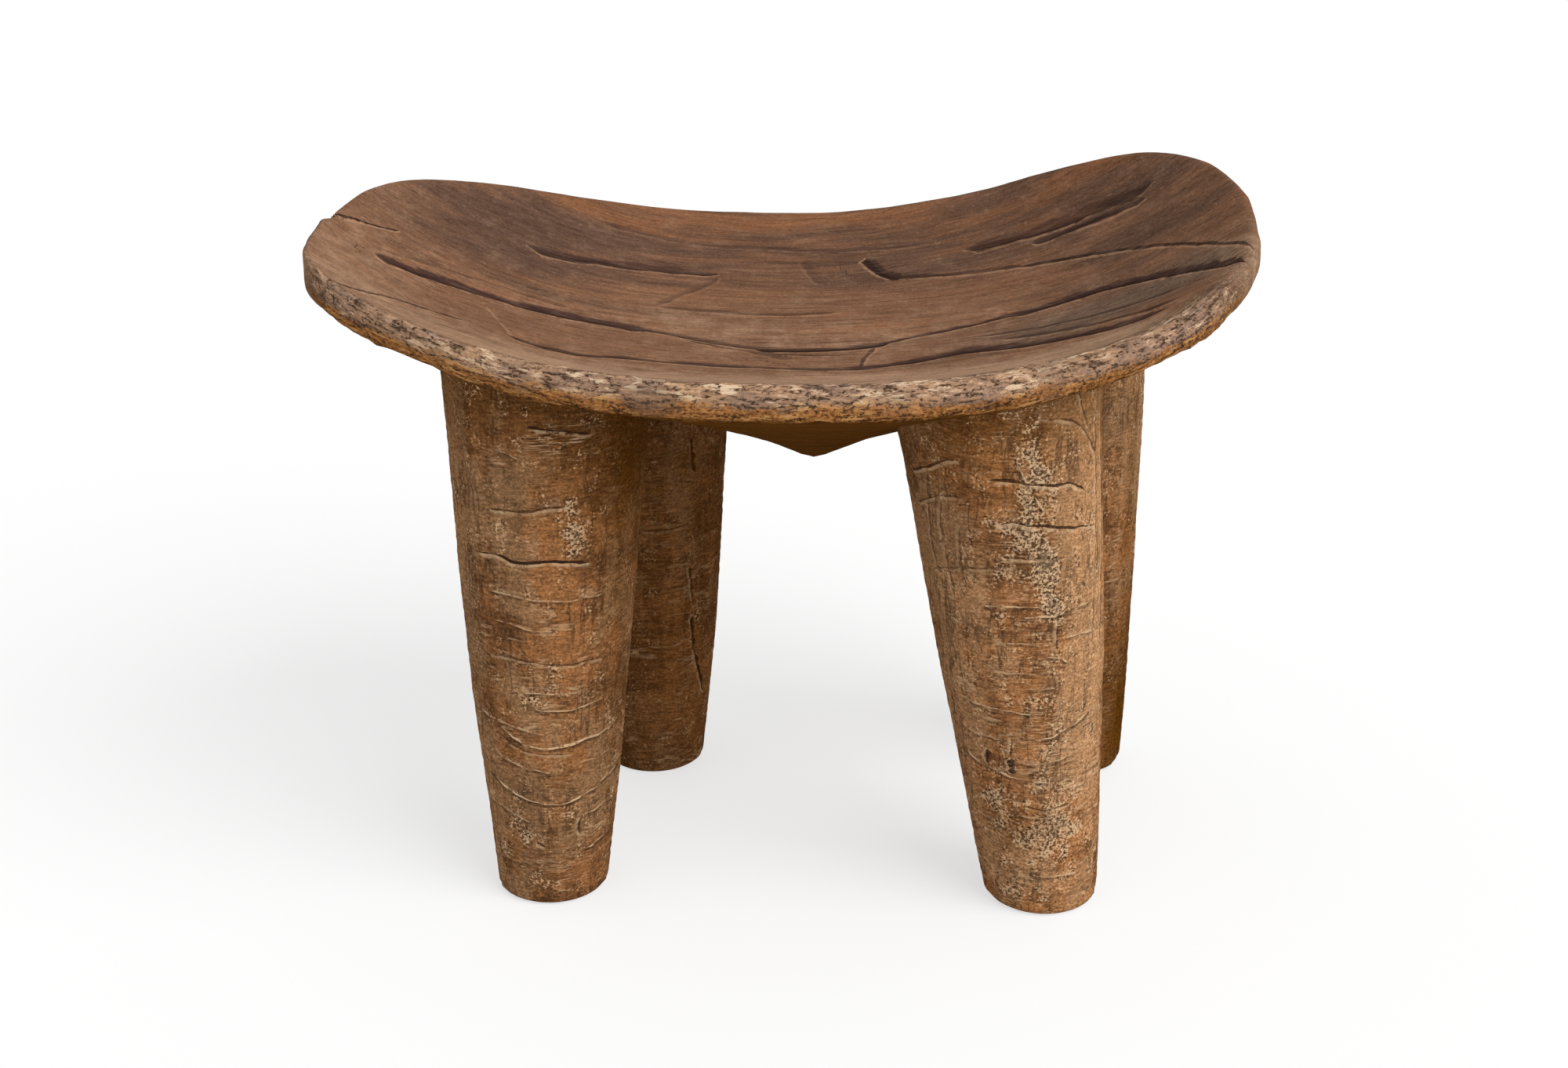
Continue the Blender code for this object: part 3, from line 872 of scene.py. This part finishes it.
def shaped_leg(name, foot, lean, seed, lines, spots):
    """One leg: long upright flats and lumps on a tapered barrel that leans, under the seat."""
    angle = -math.pi / 2 + np.linspace(0, 2 * math.pi, LEG_COLUMNS, endpoint=False) + math.pi
    angle = (angle + math.pi) % (2 * math.pi) - math.pi
    tops = np.zeros(LEG_COLUMNS)
    for column, turn in enumerate(angle):
        height = GAUGE_HEIGHT
        for _ in range(TOP_TRIES):
            reach = leg_radius(height)
            x = foot[0] + lean * height / GAUGE_HEIGHT + reach * math.cos(turn)
            height = seat_over(x, foot[1] + reach * math.sin(turn))
        tops[column] = height
    rows = []
    for loop in range(FOOT_FACE_LOOPS):
        inner = (FOOT_RADIUS - FOOT_ROUND) * (loop + FACE_START) / FOOT_FACE_LOOPS
        rows.append((np.zeros(LEG_COLUMNS), np.full(LEG_COLUMNS, inner)))
    core = leg_radius(FOOT_ROUND) - FOOT_ROUND
    for loop in range(FOOT_LOOPS):
        tilt = math.pi / 2 * (1 - loop / FOOT_LOOPS)
        rise = np.full(LEG_COLUMNS, FOOT_ROUND * (1 - math.sin(tilt)))
        rows.append((rise, np.full(LEG_COLUMNS, core + FOOT_ROUND * math.cos(tilt))))
    for ring in range(LEG_RINGS + 1):
        height = FOOT_ROUND + (tops + SINK - FOOT_ROUND) * ring / LEG_RINGS
        flare = SHOULDER_FLARE * np.exp(-np.maximum(tops - height, 0) / FLARE_HEIGHT)
        rows.append((height, leg_radius(height) + flare))
    height = np.concatenate([row[0] for row in rows])
    reach = np.concatenate([row[1] for row in rows])
    turn = np.tile(angle, len(rows))
    side = np.stack([np.cos(turn), np.sin(turn)], axis=1)

    places = np.stack([(turn + math.pi / 2 + math.pi) % (2 * math.pi) - math.pi, height], axis=1)
    places[:, 0] *= leg_radius(height)
    routes = []
    for route, *line in lines:
        pairs = np.reshape(route, (-1, 2))
        around = [((math.radians(d) + math.pi / 2) * leg_radius(z * MM) / MM, z) for d, z in pairs]
        routes.append((around, *(line[:-2] or HAIR_LINE), *line[-2:]))
    depth, fields = cut_lines(places, routes)

    ring_place = np.concatenate([side * LUMP_RADIUS, height[:, None]], axis=1)
    free = smooth_step(height, 0.0, FOOT_EASE)
    flats = np.abs(lumps(ring_place, FLAT_LUMPS, seed, 2))
    reach = reach + free * FLAT_HEIGHT * (flats - MEAN_FLAT)
    reach += free * SWELL_HEIGHT * lumps(ring_place, SWELL_LUMPS, seed + 5, 2)
    reach += free * RIDGE_HEIGHT * lumps(ring_place, RIDGE_LUMPS, seed + 9, 2)
    reach -= depth
    centre_x = foot[0] + lean * height / GAUGE_HEIGHT
    points = np.stack([centre_x + reach * side[:, 0], foot[1] + reach * side[:, 1], height], axis=1)
    first = np.arange(len(rows) - 1)[:, None] * LEG_COLUMNS
    column = np.arange(LEG_COLUMNS)[None, :]
    corner = (first + column).ravel()
    after = (first + (column + 1) % LEG_COLUMNS).ravel()
    faces = np.stack([corner, after, after + LEG_COLUMNS, corner + LEG_COLUMNS], axis=1).tolist()
    last = (len(rows) - 1) * LEG_COLUMNS
    faces.append(list(range(LEG_COLUMNS))[::-1])
    faces.append(list(range(last, last + LEG_COLUMNS)))
    mesh = bpy.data.meshes.new(name)
    mesh.from_pydata(points.tolist(), [], faces)
    mesh.update()
    mesh.shade_smooth()
    mark_lines(mesh, fields)
    # Painted shade: each leg is darkened towards its top, under the seat.
    mark(mesh, "seat_shadow", smooth_step(np.tile(tops, len(rows)) - height, SEAT_SHADOW_DROP, 0.0))
    for spotting, spots_of_kind in spots.items():
        mark(mesh, spotting, spotted(np.stack([np.degrees(turn) * MM, height], axis=1), spots_of_kind))
    return mesh


LEG_BROWN = (0.15, 0.067, 0.027, 1.0)
LEG_OCHRE = (0.3, 0.13, 0.048, 1.0)
LEG_GREY = (0.3, 0.163, 0.078, 1.0)
LEG_CREAM = (0.68, 0.46, 0.27, 1.0)
# A dark saturated brown for painted shade under the seat and on the shaded sides of the legs.
PAINTED_SHADE_BROWN = (0.098, 0.034, 0.002, 1.0)


def leg_wood(name):
    material, tree, shader = wood_finish(name)
    place = object_place(tree)
    height_up = add_node(tree, "ShaderNodeSeparateXYZ", {0: place}).outputs["Z"]
    grain = use_group(tree, LOG_GRAIN, {"Along": 110, "Across": 300, "Up": 700})
    worn = use_group(tree, WORN_CRUST, {"Place": place, "Along": 640, "Across": 760})
    fibre = grain["Fibre"]
    upright = patches(place, (75, 75, 9), 4, 0.62)
    banded = patches(place, (13, 13, 60), 4, 0.62)
    tiles = times(plus(upright, banded), 0.5)
    warm = minus(mesh_value(tree, "warm"), 0.15)
    zone = plus(shift(tiles, fibre, 0.3), times(warm, 0.2))
    colour = tint(ease(zone, 0.36, 0.66), LEG_BROWN, LEG_OCHRE)
    patch = patches(place, (34, 34, 20), 5, 0.66)
    grey = minus(mesh_value(tree, "grey"), 0.15)
    patch = plus(shift(patch, fibre, 0.3), times(grey, 0.3))
    colour = tint(ease(patch, 0.46, 0.62, 0.0, 0.85), colour, LEG_GREY)
    # A leg's tone and its light spots are partly painted light and shade.
    tone_and_light = plus(mesh_value(tree, "tone_and_light"), mesh_value(tree, "light"))
    speckle = ease(worn["Crust"], 0.3, 0.7, 0.55, 1.45)
    flat = ease(tiles, 0.35, 0.65, 0.87, 1.13)
    shade = times(ease(fibre, 0.28, 0.72, 0.7, 1.3), speckle, flat, tone_and_light)
    colour = dimmed(colour, shade)
    colour = tint(times(grain["Pores"], 0.45), colour, PIT_BROWN)

    # Painted shade under the seat, in the dark saturated brown.
    seat_shadow = times(mesh_value(tree, "seat_shadow"), 0.5)
    colour = tint(seat_shadow, colour, dimmed(PAINTED_SHADE_BROWN, shade))

    torn = mesh_value(tree, "torn")
    shred = patches(place, (90, 90, 1200), 2, 0.6)
    lifted = times(torn, ease(shred, 0.56, 0.62))
    colour = tint(lifted, colour, LEG_CREAM)
    gaps = times(torn, ease(shred, 0.44, 0.38))
    colour = tint(gaps, colour, PIT_BROWN)

    here = ease(patches(place, (26, 26, 26), 3, 0.6), 0.44, 0.58)
    seam = patches(place, (120, 120, 16), 3, 0.6)
    seam = thread(seam, 0.5, 0.04, 0.012)
    colour = tint(times(seam, here, 0.55), colour, PIT_BROWN)
    rift = patches(place, (18, 18, 120), 3, 0.6)
    crack = thread(rift, 0.5, 0.026, 0.006)
    ridge = thread(rift, 0.55, 0.026, 0.006)
    broken = ease(patches(place, (70, 70, 70), 3, 0.6), 0.48, 0.6)
    lower = times(ease(height_up, 0.24, 0.14, 0.15, 0.4), broken)
    colour = tint(times(crack, lower), colour, PIT_BROWN)
    colour = tint(times(ridge, lower), colour, LEG_CREAM)

    dust = times(mesh_value(tree, "dust"), 0.14)
    chip = plus(shift(worn["Crust"], worn["Clusters"], 0.6), dust)
    colour = tint(ease(chip, 0.625, 0.685, 0.0, 0.9), colour, LEG_CREAM)
    pit = minus(shift(worn["Crust"], worn["Clusters"], -0.6), dust)
    colour = tint(ease(pit, 0.36, 0.28, 0.0, 0.8), colour, PIT_BROWN)
    dark, pale_line, _, _ = all_checks(tree, 0.75, 0.65)
    # Pale lines carry painted highlights on the lips of dark checks, and dark ones painted shadows under pale
    # ridges.
    colour = tint(pale_line, colour, LEG_CREAM)
    colour = tint(dark, colour, CHECK_BLACK)
    # The dark spots, in the painted shade brown: partly painted shade, partly darker wood.
    spotting = reckon("MULTIPLY", mesh_value(tree, "dark"), 0.8, True)
    colour = tint(spotting, colour, dimmed(PAINTED_SHADE_BROWN, shade))

    relief = summed((fibre, 0.5), (grain["Pores"], -0.15), (worn["Crust"], 0.6))
    height = summed((relief, 1.0), (dark, -0.8), (pale_line, 0.4))
    dress(tree, shader, colour, height, ease(fibre, 0.3, 0.7, 0.88, 0.72))
    return material


# Each line on a leg: its route as degrees round and millimetres up, any half width and depth, shade, layer
FRONT_LEFT_LINES = [
    ((-134, 214, -116, 215, -105, 213, -86, 214, -67, 212, -57, 210), 0.7, 0.4, 0.92, 0),
    ((-122, 241, -104, 242, -93, 243, -84, 244, -74, 244), 0.65, 1),
    ((-96, 289, -76, 286, -58, 282), 0.5, 0.3, 0.85, 0),
    ((-112, 275, -105, 273, -100, 271), -0.7, 2),
    ((-58, 271, -53, 272, -46, 274), -0.5, 1),
    ((-127, 194, -103, 193, -92, 192, -74, 190, -59, 191, -43, 190), -0.55, 2),
    ((-123, 177, -105, 176, -95, 174, -80, 173), -0.55, 1),
    ((-131, 155, -114, 157, -101, 156, -90, 154, -74, 153, -45, 153), 0.55, 0),
    ((-104, 136, -92, 136, -80, 135), -0.7, 2),
    ((-98, 127, -87, 126, -71, 125, -56, 126, -41, 128), -0.65, 1),
    ((-154, 117, -131, 116, -113, 115, -97, 112, -86, 110), -0.6, 2),
    ((-127, 114, -114, 108, -101, 104, -86, 102, -74, 103, -55, 105, -19, 108), 0.6, 0.0, -0.9, 1),
    ((-135, 97, -123, 93, -110, 90, -96, 88, -83, 86), -0.65, 2),
    ((-142, 80, -124, 73, -107, 69, -89, 67, -70, 67, -53, 71, -14, 79), 0.6, 0.0, -0.95, 1),
    ((-153, 61, -128, 60, -114, 57, -101, 55), -0.6, 2),
    ((-58, 33, -40, 36, -17, 38), -0.75, 2),
    ((-59, 56, -43, 58, -16, 59), -0.6, 1),
    ((-126, 107, -96, 99, -66, 98), 0.5, 0),
    ((-58, 56, -59, 50, -58, 44), 1.1, 0.3, 0.7, 0),
    ((-98, 42, -90, 39), 1.0, 0.3, 0.75, 0),
]
FRONT_RIGHT_LINES = [
    ((-104, 264, -89, 264, -81, 262, -63, 259, -54, 259, -46, 255, -41, 251), 0.5, 0.3, 0.85, 1),
    ((-100, 239, -91, 241, -82, 239, -71, 238, -55, 234, -44, 233, -30, 230), 0.5, 0.3, 0.85, 2),
    ((-158, 257, -139, 265, -126, 271, -117, 273), 0.7, 0),
    ((-157, 240, -139, 248, -126, 252, -116, 252), 0.5, 1),
    ((-74, 297, -58, 294, -43, 287, -30, 268, -26, 250), 0.6, 0),
    ((-50, 320, -44, 300, -36, 284), 0.5, 1),
    ((-86, 275, -82, 266, -77, 255, -71, 245), -0.8, 0),
    ((-100, 221, -88, 221, -72, 220, -54, 218), 0.5, 0),
    ((-152, 204, -129, 211, -105, 215, -89, 217), 0.45, 1),
    ((-144, 243, -147, 222, -145, 204), 0.6, 0.0, 0.4, 2),
    ((-133, 250, -136, 228, -133, 190), 0.6, 0.0, 0.4, 2),
    ((-122, 236, -125, 215, -123, 202), 0.6, 0.0, 0.35, 2),
    ((-150, 226, -139, 223, -134, 229), 0.4, 0),
    ((-134, 208, -124, 212, -112, 206), 0.4, 0),
    ((-30, 300, -30, 245, -32, 201, -37, 157), 0.7, 0.0, 0.45, 0),
    ((-19, 300, -20, 208, -26, 151), 0.7, 0.0, 0.5, 1),
    ((-114, 192, -103, 193, -92, 193, -78, 193, -70, 193), 0.7, 0.0, -0.95, 2),
    ((-91, 186, -79, 187, -68, 187, -58, 189, -38, 189), -0.75, 1),
    ((-65, 190, -68, 177, -68, 166), 0.6, 0),
    ((-62, 173, -50, 173, -33, 171), -0.6, 2),
    ((-102, 172, -90, 172, -77, 170), -0.6, 1),
    ((-75, 164, -67, 162, -60, 158), 0.6, 0.0, -0.8, 0),
    ((-107, 154, -92, 154, -76, 154), -0.55, 1),
    ((-95, 145, -83, 145, -69, 145), -0.55, 2),
    ((-136, 132, -119, 131, -105, 131, -91, 130, -77, 131), -0.8, 1),
    ((-107, 118, -98, 116, -84, 115, -74, 115, -65, 118, -38, 124), 0.6, 0.0, -0.9, 2),
    ((-150, 116, -140, 113, -123, 113, -109, 112), -0.5, 1),
    ((-104, 115, -105, 109, -106, 103), 0.6, 0),
    ((-105, 102, -106, 92), 2.4, 0.0, 0.8, 0),
    ((-125, 105, -127, 95), 1.7, 0.0, 0.7, 0),
    ((-101, 98, -86, 99, -73, 100, -56, 102), -0.55, 1),
    ((-149, 99, -135, 94, -120, 92, -108, 90, -96, 89, -77, 87), -0.8, 2),
    ((-33, 115, -33, 109), 1.2, 0.0, 0.6, 0),
    ((-152, 60, -128, 58, -117, 56), -0.6, 1),
    ((-107, 66, -92, 65, -75, 65), -0.7, 2),
    ((-100, 73, -84, 70, -60, 72), 0.55, 0),
    ((-102, 28, -85, 27, -66, 26, -50, 27), -0.7, 1),
]
REAR_LEFT_LINES = [
    ((-53, 222, -51, 209, -49, 199), 1.2, 1.6, 0.95, 0),
    ((-49, 108, -46, 92, -42, 78, -36, 66, -24, 48), 1.1, 1.6, 0.95, 0),
    ((-52, 140, -50, 128, -48, 116), 0.8, 1.0, 0.8, 0),
    ((-100, 168, -76, 166, -52, 168), 0.5, 0.5, 0.55, 1),
    ((-90, 90, -70, 88, -50, 92), 0.5, -0.3, -0.4, 2),
]
REAR_RIGHT_LINES = [
    ((-28, 276, -24, 256, -20, 244), 0.5, 0.6, 0.7, 0),
    ((-34, 262, -10, 240, 6, 214), 0.4, -0.3, -0.55, 1),
    ((-24, 236, -22, 190, -24, 150), 0.6, 0.6, 0.55, 2),
]
# Lines on the rear side of every leg, from 0 degrees round to -270, turned and lifted from leg to leg
BACK_LINES = [
    ((5, 236, 40, 240, 78, 237), 0.7, 0.3, 0.85, 0),
    ((-262, 205, -230, 208, -196, 204), 0.7, 0.3, 0.85, 0),
    ((20, 160, 52, 158, 84, 161), 0.6, 1),
    ((-258, 150, -222, 147, -190, 150), -0.7, 2),
    ((10, 105, 45, 100, 82, 102), 0.6, 0.0, -0.85, 1),
    ((-264, 98, -225, 92, -188, 96), 0.6, 0.0, -0.85, 1),
    ((25, 62, 55, 58, 80, 61), -0.7, 2),
    ((-250, 52, -220, 49, -192, 53), 0.6, 0),
]
# Soft spots on a leg: degrees round it and millimetres up it, their spread, and the strength. The light spots
# are painted light and shade on the leg's tone; the dark spots are partly painted shade, under the seat, on
# the shaded sides and over the rear left leg, and partly darker wood
BACK_SPOTS = {
    "torn": [(50, 200, 18, 10, 0.5), (140, 120, 24, 10, 0.4)],
    "warm": [(100, 150, 50, 80, 0.6)],
    "grey": [(150, 200, 40, 90, 0.6), (40, 90, 30, 60, 0.5)],
    "dust": [(60, 250, 12, 22, 0.7), (130, 60, 30, 20, 0.6), (150, 210, 14, 14, 0.6)],
    "light": [],
    "dark": [(90, 270, 60, 40, 0.4)],
}
FRONT_LEFT_SPOTS = {
    "torn": [
        (-78, 281, 16, 7, 1.3), (-110, 268, 10, 6, 0.5), (-84, 140, 26, 9, 0.4), (-70, 28, 30, 14, 0.3),
    ],
    "warm": [(-85, 200, 22, 90, 0.8), (-70, 90, 40, 60, 0.7), (-80, 262, 18, 20, 0.5)],
    "grey": [
        (-150, 190, 28, 150, 0.8), (-110, 240, 14, 40, 0.5), (-105, 110, 12, 60, 0.4),
        (-90, 45, 70, 50, 0.5), (-40, 150, 20, 90, 0.5),
    ],
    "dust": [
        (-70, 241, 8, 9, 1.0), (-67, 231, 10, 9, 1.0), (-70, 218, 6, 8, 0.8), (-112, 233, 6, 8, 0.6),
        (-92, 134, 14, 5, 0.5), (-109, 46, 7, 5, 1.0), (-122, 52, 9, 6, 0.7), (-96, 22, 8, 6, 0.6),
    ],
    "light": [(-150, 60, 40, 60, 0.16), (-90, 45, 50, 45, -0.18)],
    "dark": [
        (-25, 270, 40, 60, 0.9), (-30, 160, 22, 80, 0.5), (-100, 236, 7, 9, 0.4), (-66, 50, 6, 16, 0.3),
    ],
}
FRONT_RIGHT_SPOTS = {
    "torn": [
        (-88, 230, 14, 14, 0.8), (-90, 270, 16, 8, 0.4), (-84, 176, 12, 10, 0.5),
        (-84, 128, 18, 26, 0.5), (-70, 96, 24, 18, 0.4),
    ],
    "warm": [
        (-104, 255, 12, 24, 0.8), (-74, 90, 30, 30, 0.8), (-88, 150, 20, 50, 0.6),
        (-90, 40, 50, 40, 0.5),
    ],
    # The grey spots down the right and left sides lighten them: partly paler wood, partly painted light.
    "grey": [
        (-42, 230, 24, 130, 1.4), (-150, 180, 26, 130, 0.9), (-50, 110, 20, 50, 0.6),
        (-95, 30, 50, 25, 0.4),
    ],
    "dust": [
        (-77, 282, 7, 14, 0.8), (-75, 266, 8, 14, 0.8), (-82, 246, 12, 12, 0.9), (-86, 231, 14, 10, 0.7),
        (-72, 222, 10, 12, 0.8), (-72, 206, 7, 14, 0.6), (-68, 190, 6, 10, 0.8), (-125, 72, 12, 8, 0.9),
        (-65, 55, 14, 12, 0.8), (-90, 50, 22, 14, 0.5), (-115, 13, 30, 8, 0.5), (-90, 60, 60, 45, 0.4),
        (-80, 170, 50, 110, 0.35),
    ],
    "light": [(-35, 200, 22, 200, 0.3), (-85, 280, 40, 30, 0.15)],
    "dark": [(-85, 68, 8, 6, 0.5), (-100, 60, 24, 10, 0.3), (-95, 255, 30, 50, 0.2)],
}
REAR_LEFT_SPOTS = {
    "torn": [(-70, 180, 20, 30, 0.3)],
    "warm": [(-60, 60, 40, 60, 0.5)],
    "grey": [(-60, 230, 20, 40, 0.3)],
    "dust": [(-56, 205, 14, 16, 0.5), (-48, 110, 6, 40, 0.5)],
    "light": [(-70, 190, 110, 120, 0.3)],
    "dark": [(-70, 150, 110, 260, 0.7), (-56, 208, 10, 12, 0.4)],
}
REAR_RIGHT_SPOTS = {
    "torn": [(-10, 250, 20, 30, 0.4)],
    "warm": [(-36, 160, 8, 80, 0.8), (10, 130, 12, 70, 0.6)],
    "grey": [(-15, 240, 24, 80, 1.2), (-90, 200, 60, 100, 0.5)],
    "dust": [(-5, 240, 20, 40, 0.6)],
    "light": [(-15, 40, 60, 60, -0.15)],
    "dark": [(-20, 30, 60, 75, 1.2), (-34, 180, 8, 80, 0.5)],
}
# Each leg: its lean, the seed of its lumps, its tone, partly painted light and shade (the front right leg lit
# brighter, the rear left darker), the turn and lift of its rear lines, lines and spots
LEG_SET = {
    "front_left": (0.0065, 11, 0.97, (-2, 8), FRONT_LEFT_LINES, FRONT_LEFT_SPOTS),
    "front_right": (-0.035, 23, 1.22, (4, -6), FRONT_RIGHT_LINES, FRONT_RIGHT_SPOTS),
    "rear_left": (-0.003, 37, 0.85, (0, 0), REAR_LEFT_LINES, REAR_LEFT_SPOTS),
    "rear_right": (-0.024, 41, 1.0, (-5, -14), REAR_RIGHT_LINES, REAR_RIGHT_SPOTS),
}
foot_centres = {mount["name"][5:]: mount["pos_m"] for mount in frame["record"]["mounts"]}
LEG_WOOD = leg_wood("leg_wood")
for place, (lean, seed, tone_and_light, (turn, lift), lines, spots) in LEG_SET.items():
    behind = [(np.reshape(route, (-1, 2)) + (turn, lift), *line) for route, *line in BACK_LINES]
    spots = {spotting: spots[spotting] + BACK_SPOTS[spotting] for spotting in BACK_SPOTS}
    mesh = shaped_leg("leg_" + place + "_carving", foot_centres[place], lean, seed, lines + behind, spots)
    mark(mesh, "tone_and_light", np.full(len(mesh.vertices), tone_and_light))
    leg = stood("carved_leg_" + place, mesh)
    mesh.materials.append(LEG_WOOD)
    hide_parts("leg_" + place)
    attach(leg, "root")

# Studio
# A plain pale floor that keeps a soft shadow, in even white light from all round.
# A soft key light comes from above the front right.
FLOOR_SPREAD = 6.0
WHITE = (1.0, 1.0, 1.0, 1.0)
PAPER_WHITE = (0.95, 0.95, 0.95, 1.0)
BOUNCE_GREY = (0.8, 0.79, 0.78, 1.0)
PAPER_GLOW = 0.62
AIR_STRENGTH = 0.6
floor_mesh = bpy.data.meshes.new("studio_floor")
corners = [(x * FLOOR_SPREAD, y * FLOOR_SPREAD, 0) for x, y in ((-1, -1), (1, -1), (1, 1), (-1, 1))]
floor_mesh.from_pydata(corners, [], [(0, 1, 2, 3)])
floor = stood("studio_floor", floor_mesh)

paper = bpy.data.materials.new("studio_paper")
paper.use_nodes = True
tree = paper.node_tree
tree.nodes.clear()
ray = tree.nodes.new("ShaderNodeLightPath").outputs
seen = larger(ray["Is Glossy Ray"], ray["Is Transmission Ray"])
seen = larger(ray["Is Camera Ray"], seen)
matt = add_node(tree, "ShaderNodeBsdfDiffuse", {"Color": PAPER_WHITE})
dull = add_node(tree, "ShaderNodeBsdfDiffuse", {"Color": BOUNCE_GREY})
glow = add_node(tree, "ShaderNodeEmission", {"Color": WHITE, "Strength": 1.0})
shown = add_node(tree, "ShaderNodeMixShader", {0: PAPER_GLOW, 1: matt.outputs[0], 2: glow.outputs[0]})
both = add_node(tree, "ShaderNodeMixShader", {0: seen, 1: dull.outputs[0], 2: shown.outputs[0]})
add_node(tree, "ShaderNodeOutputMaterial", {"Surface": both.outputs[0]})
floor_mesh.materials.append(paper)

world = bpy.data.worlds.new("studio_air")
bpy.context.scene.world = world
world.use_nodes = True
tree = world.node_tree
tree.nodes.clear()
ray = tree.nodes.new("ShaderNodeLightPath").outputs
seen = larger(ray["Is Camera Ray"], ray["Is Transmission Ray"])
strength = ease(seen, 0.0, 1.0, AIR_STRENGTH, 1.0)
air = add_node(tree, "ShaderNodeBackground", {"Color": WHITE, "Strength": strength})
add_node(tree, "ShaderNodeOutputWorld", {"Surface": air.outputs[0]})

KEY_STRENGTH = 2.4
KEY_SOFTNESS = math.radians(50)
KEY_DIRECTION = Vector((-0.75, 0.6, -0.85))
key = bpy.data.lights.new("key", "SUN")
key.energy = KEY_STRENGTH
key.angle = KEY_SOFTNESS
key_lamp = stood("key", key)
key_lamp.rotation_euler = KEY_DIRECTION.to_track_quat("-Z", "Y").to_euler()

# Camera
# It stands a little to the right of the middle and looks down on the dish, as the photograph was taken.
# The lens is shifted a little sideways, because the stool is off the middle of the picture.
CAMERA_AZIMUTH = math.radians(0.9145)
CAMERA_ELEVATION = math.radians(22.4885)
CAMERA_DISTANCE = 1.3639
CAMERA_TARGET = Vector((-0.0102, 0, 0.1808))
FOCAL_LENGTH = 55.9
SENSOR_WIDTH = 36
SIDE_SHIFT = 0.009
lens = bpy.data.cameras.new("camera")
lens.lens = FOCAL_LENGTH
lens.sensor_width = SENSOR_WIDTH
lens.shift_x = SIDE_SHIFT
camera = stood("camera", lens)
back = Vector((
    math.sin(CAMERA_AZIMUTH) * math.cos(CAMERA_ELEVATION),
    -math.cos(CAMERA_AZIMUTH) * math.cos(CAMERA_ELEVATION),
    math.sin(CAMERA_ELEVATION),
))
camera.location = CAMERA_TARGET + back * CAMERA_DISTANCE
camera.rotation_euler = (-back).to_track_quat("-Z", "Y").to_euler()
bpy.context.scene.camera = camera
bpy.context.scene.view_settings.view_transform = "Standard"
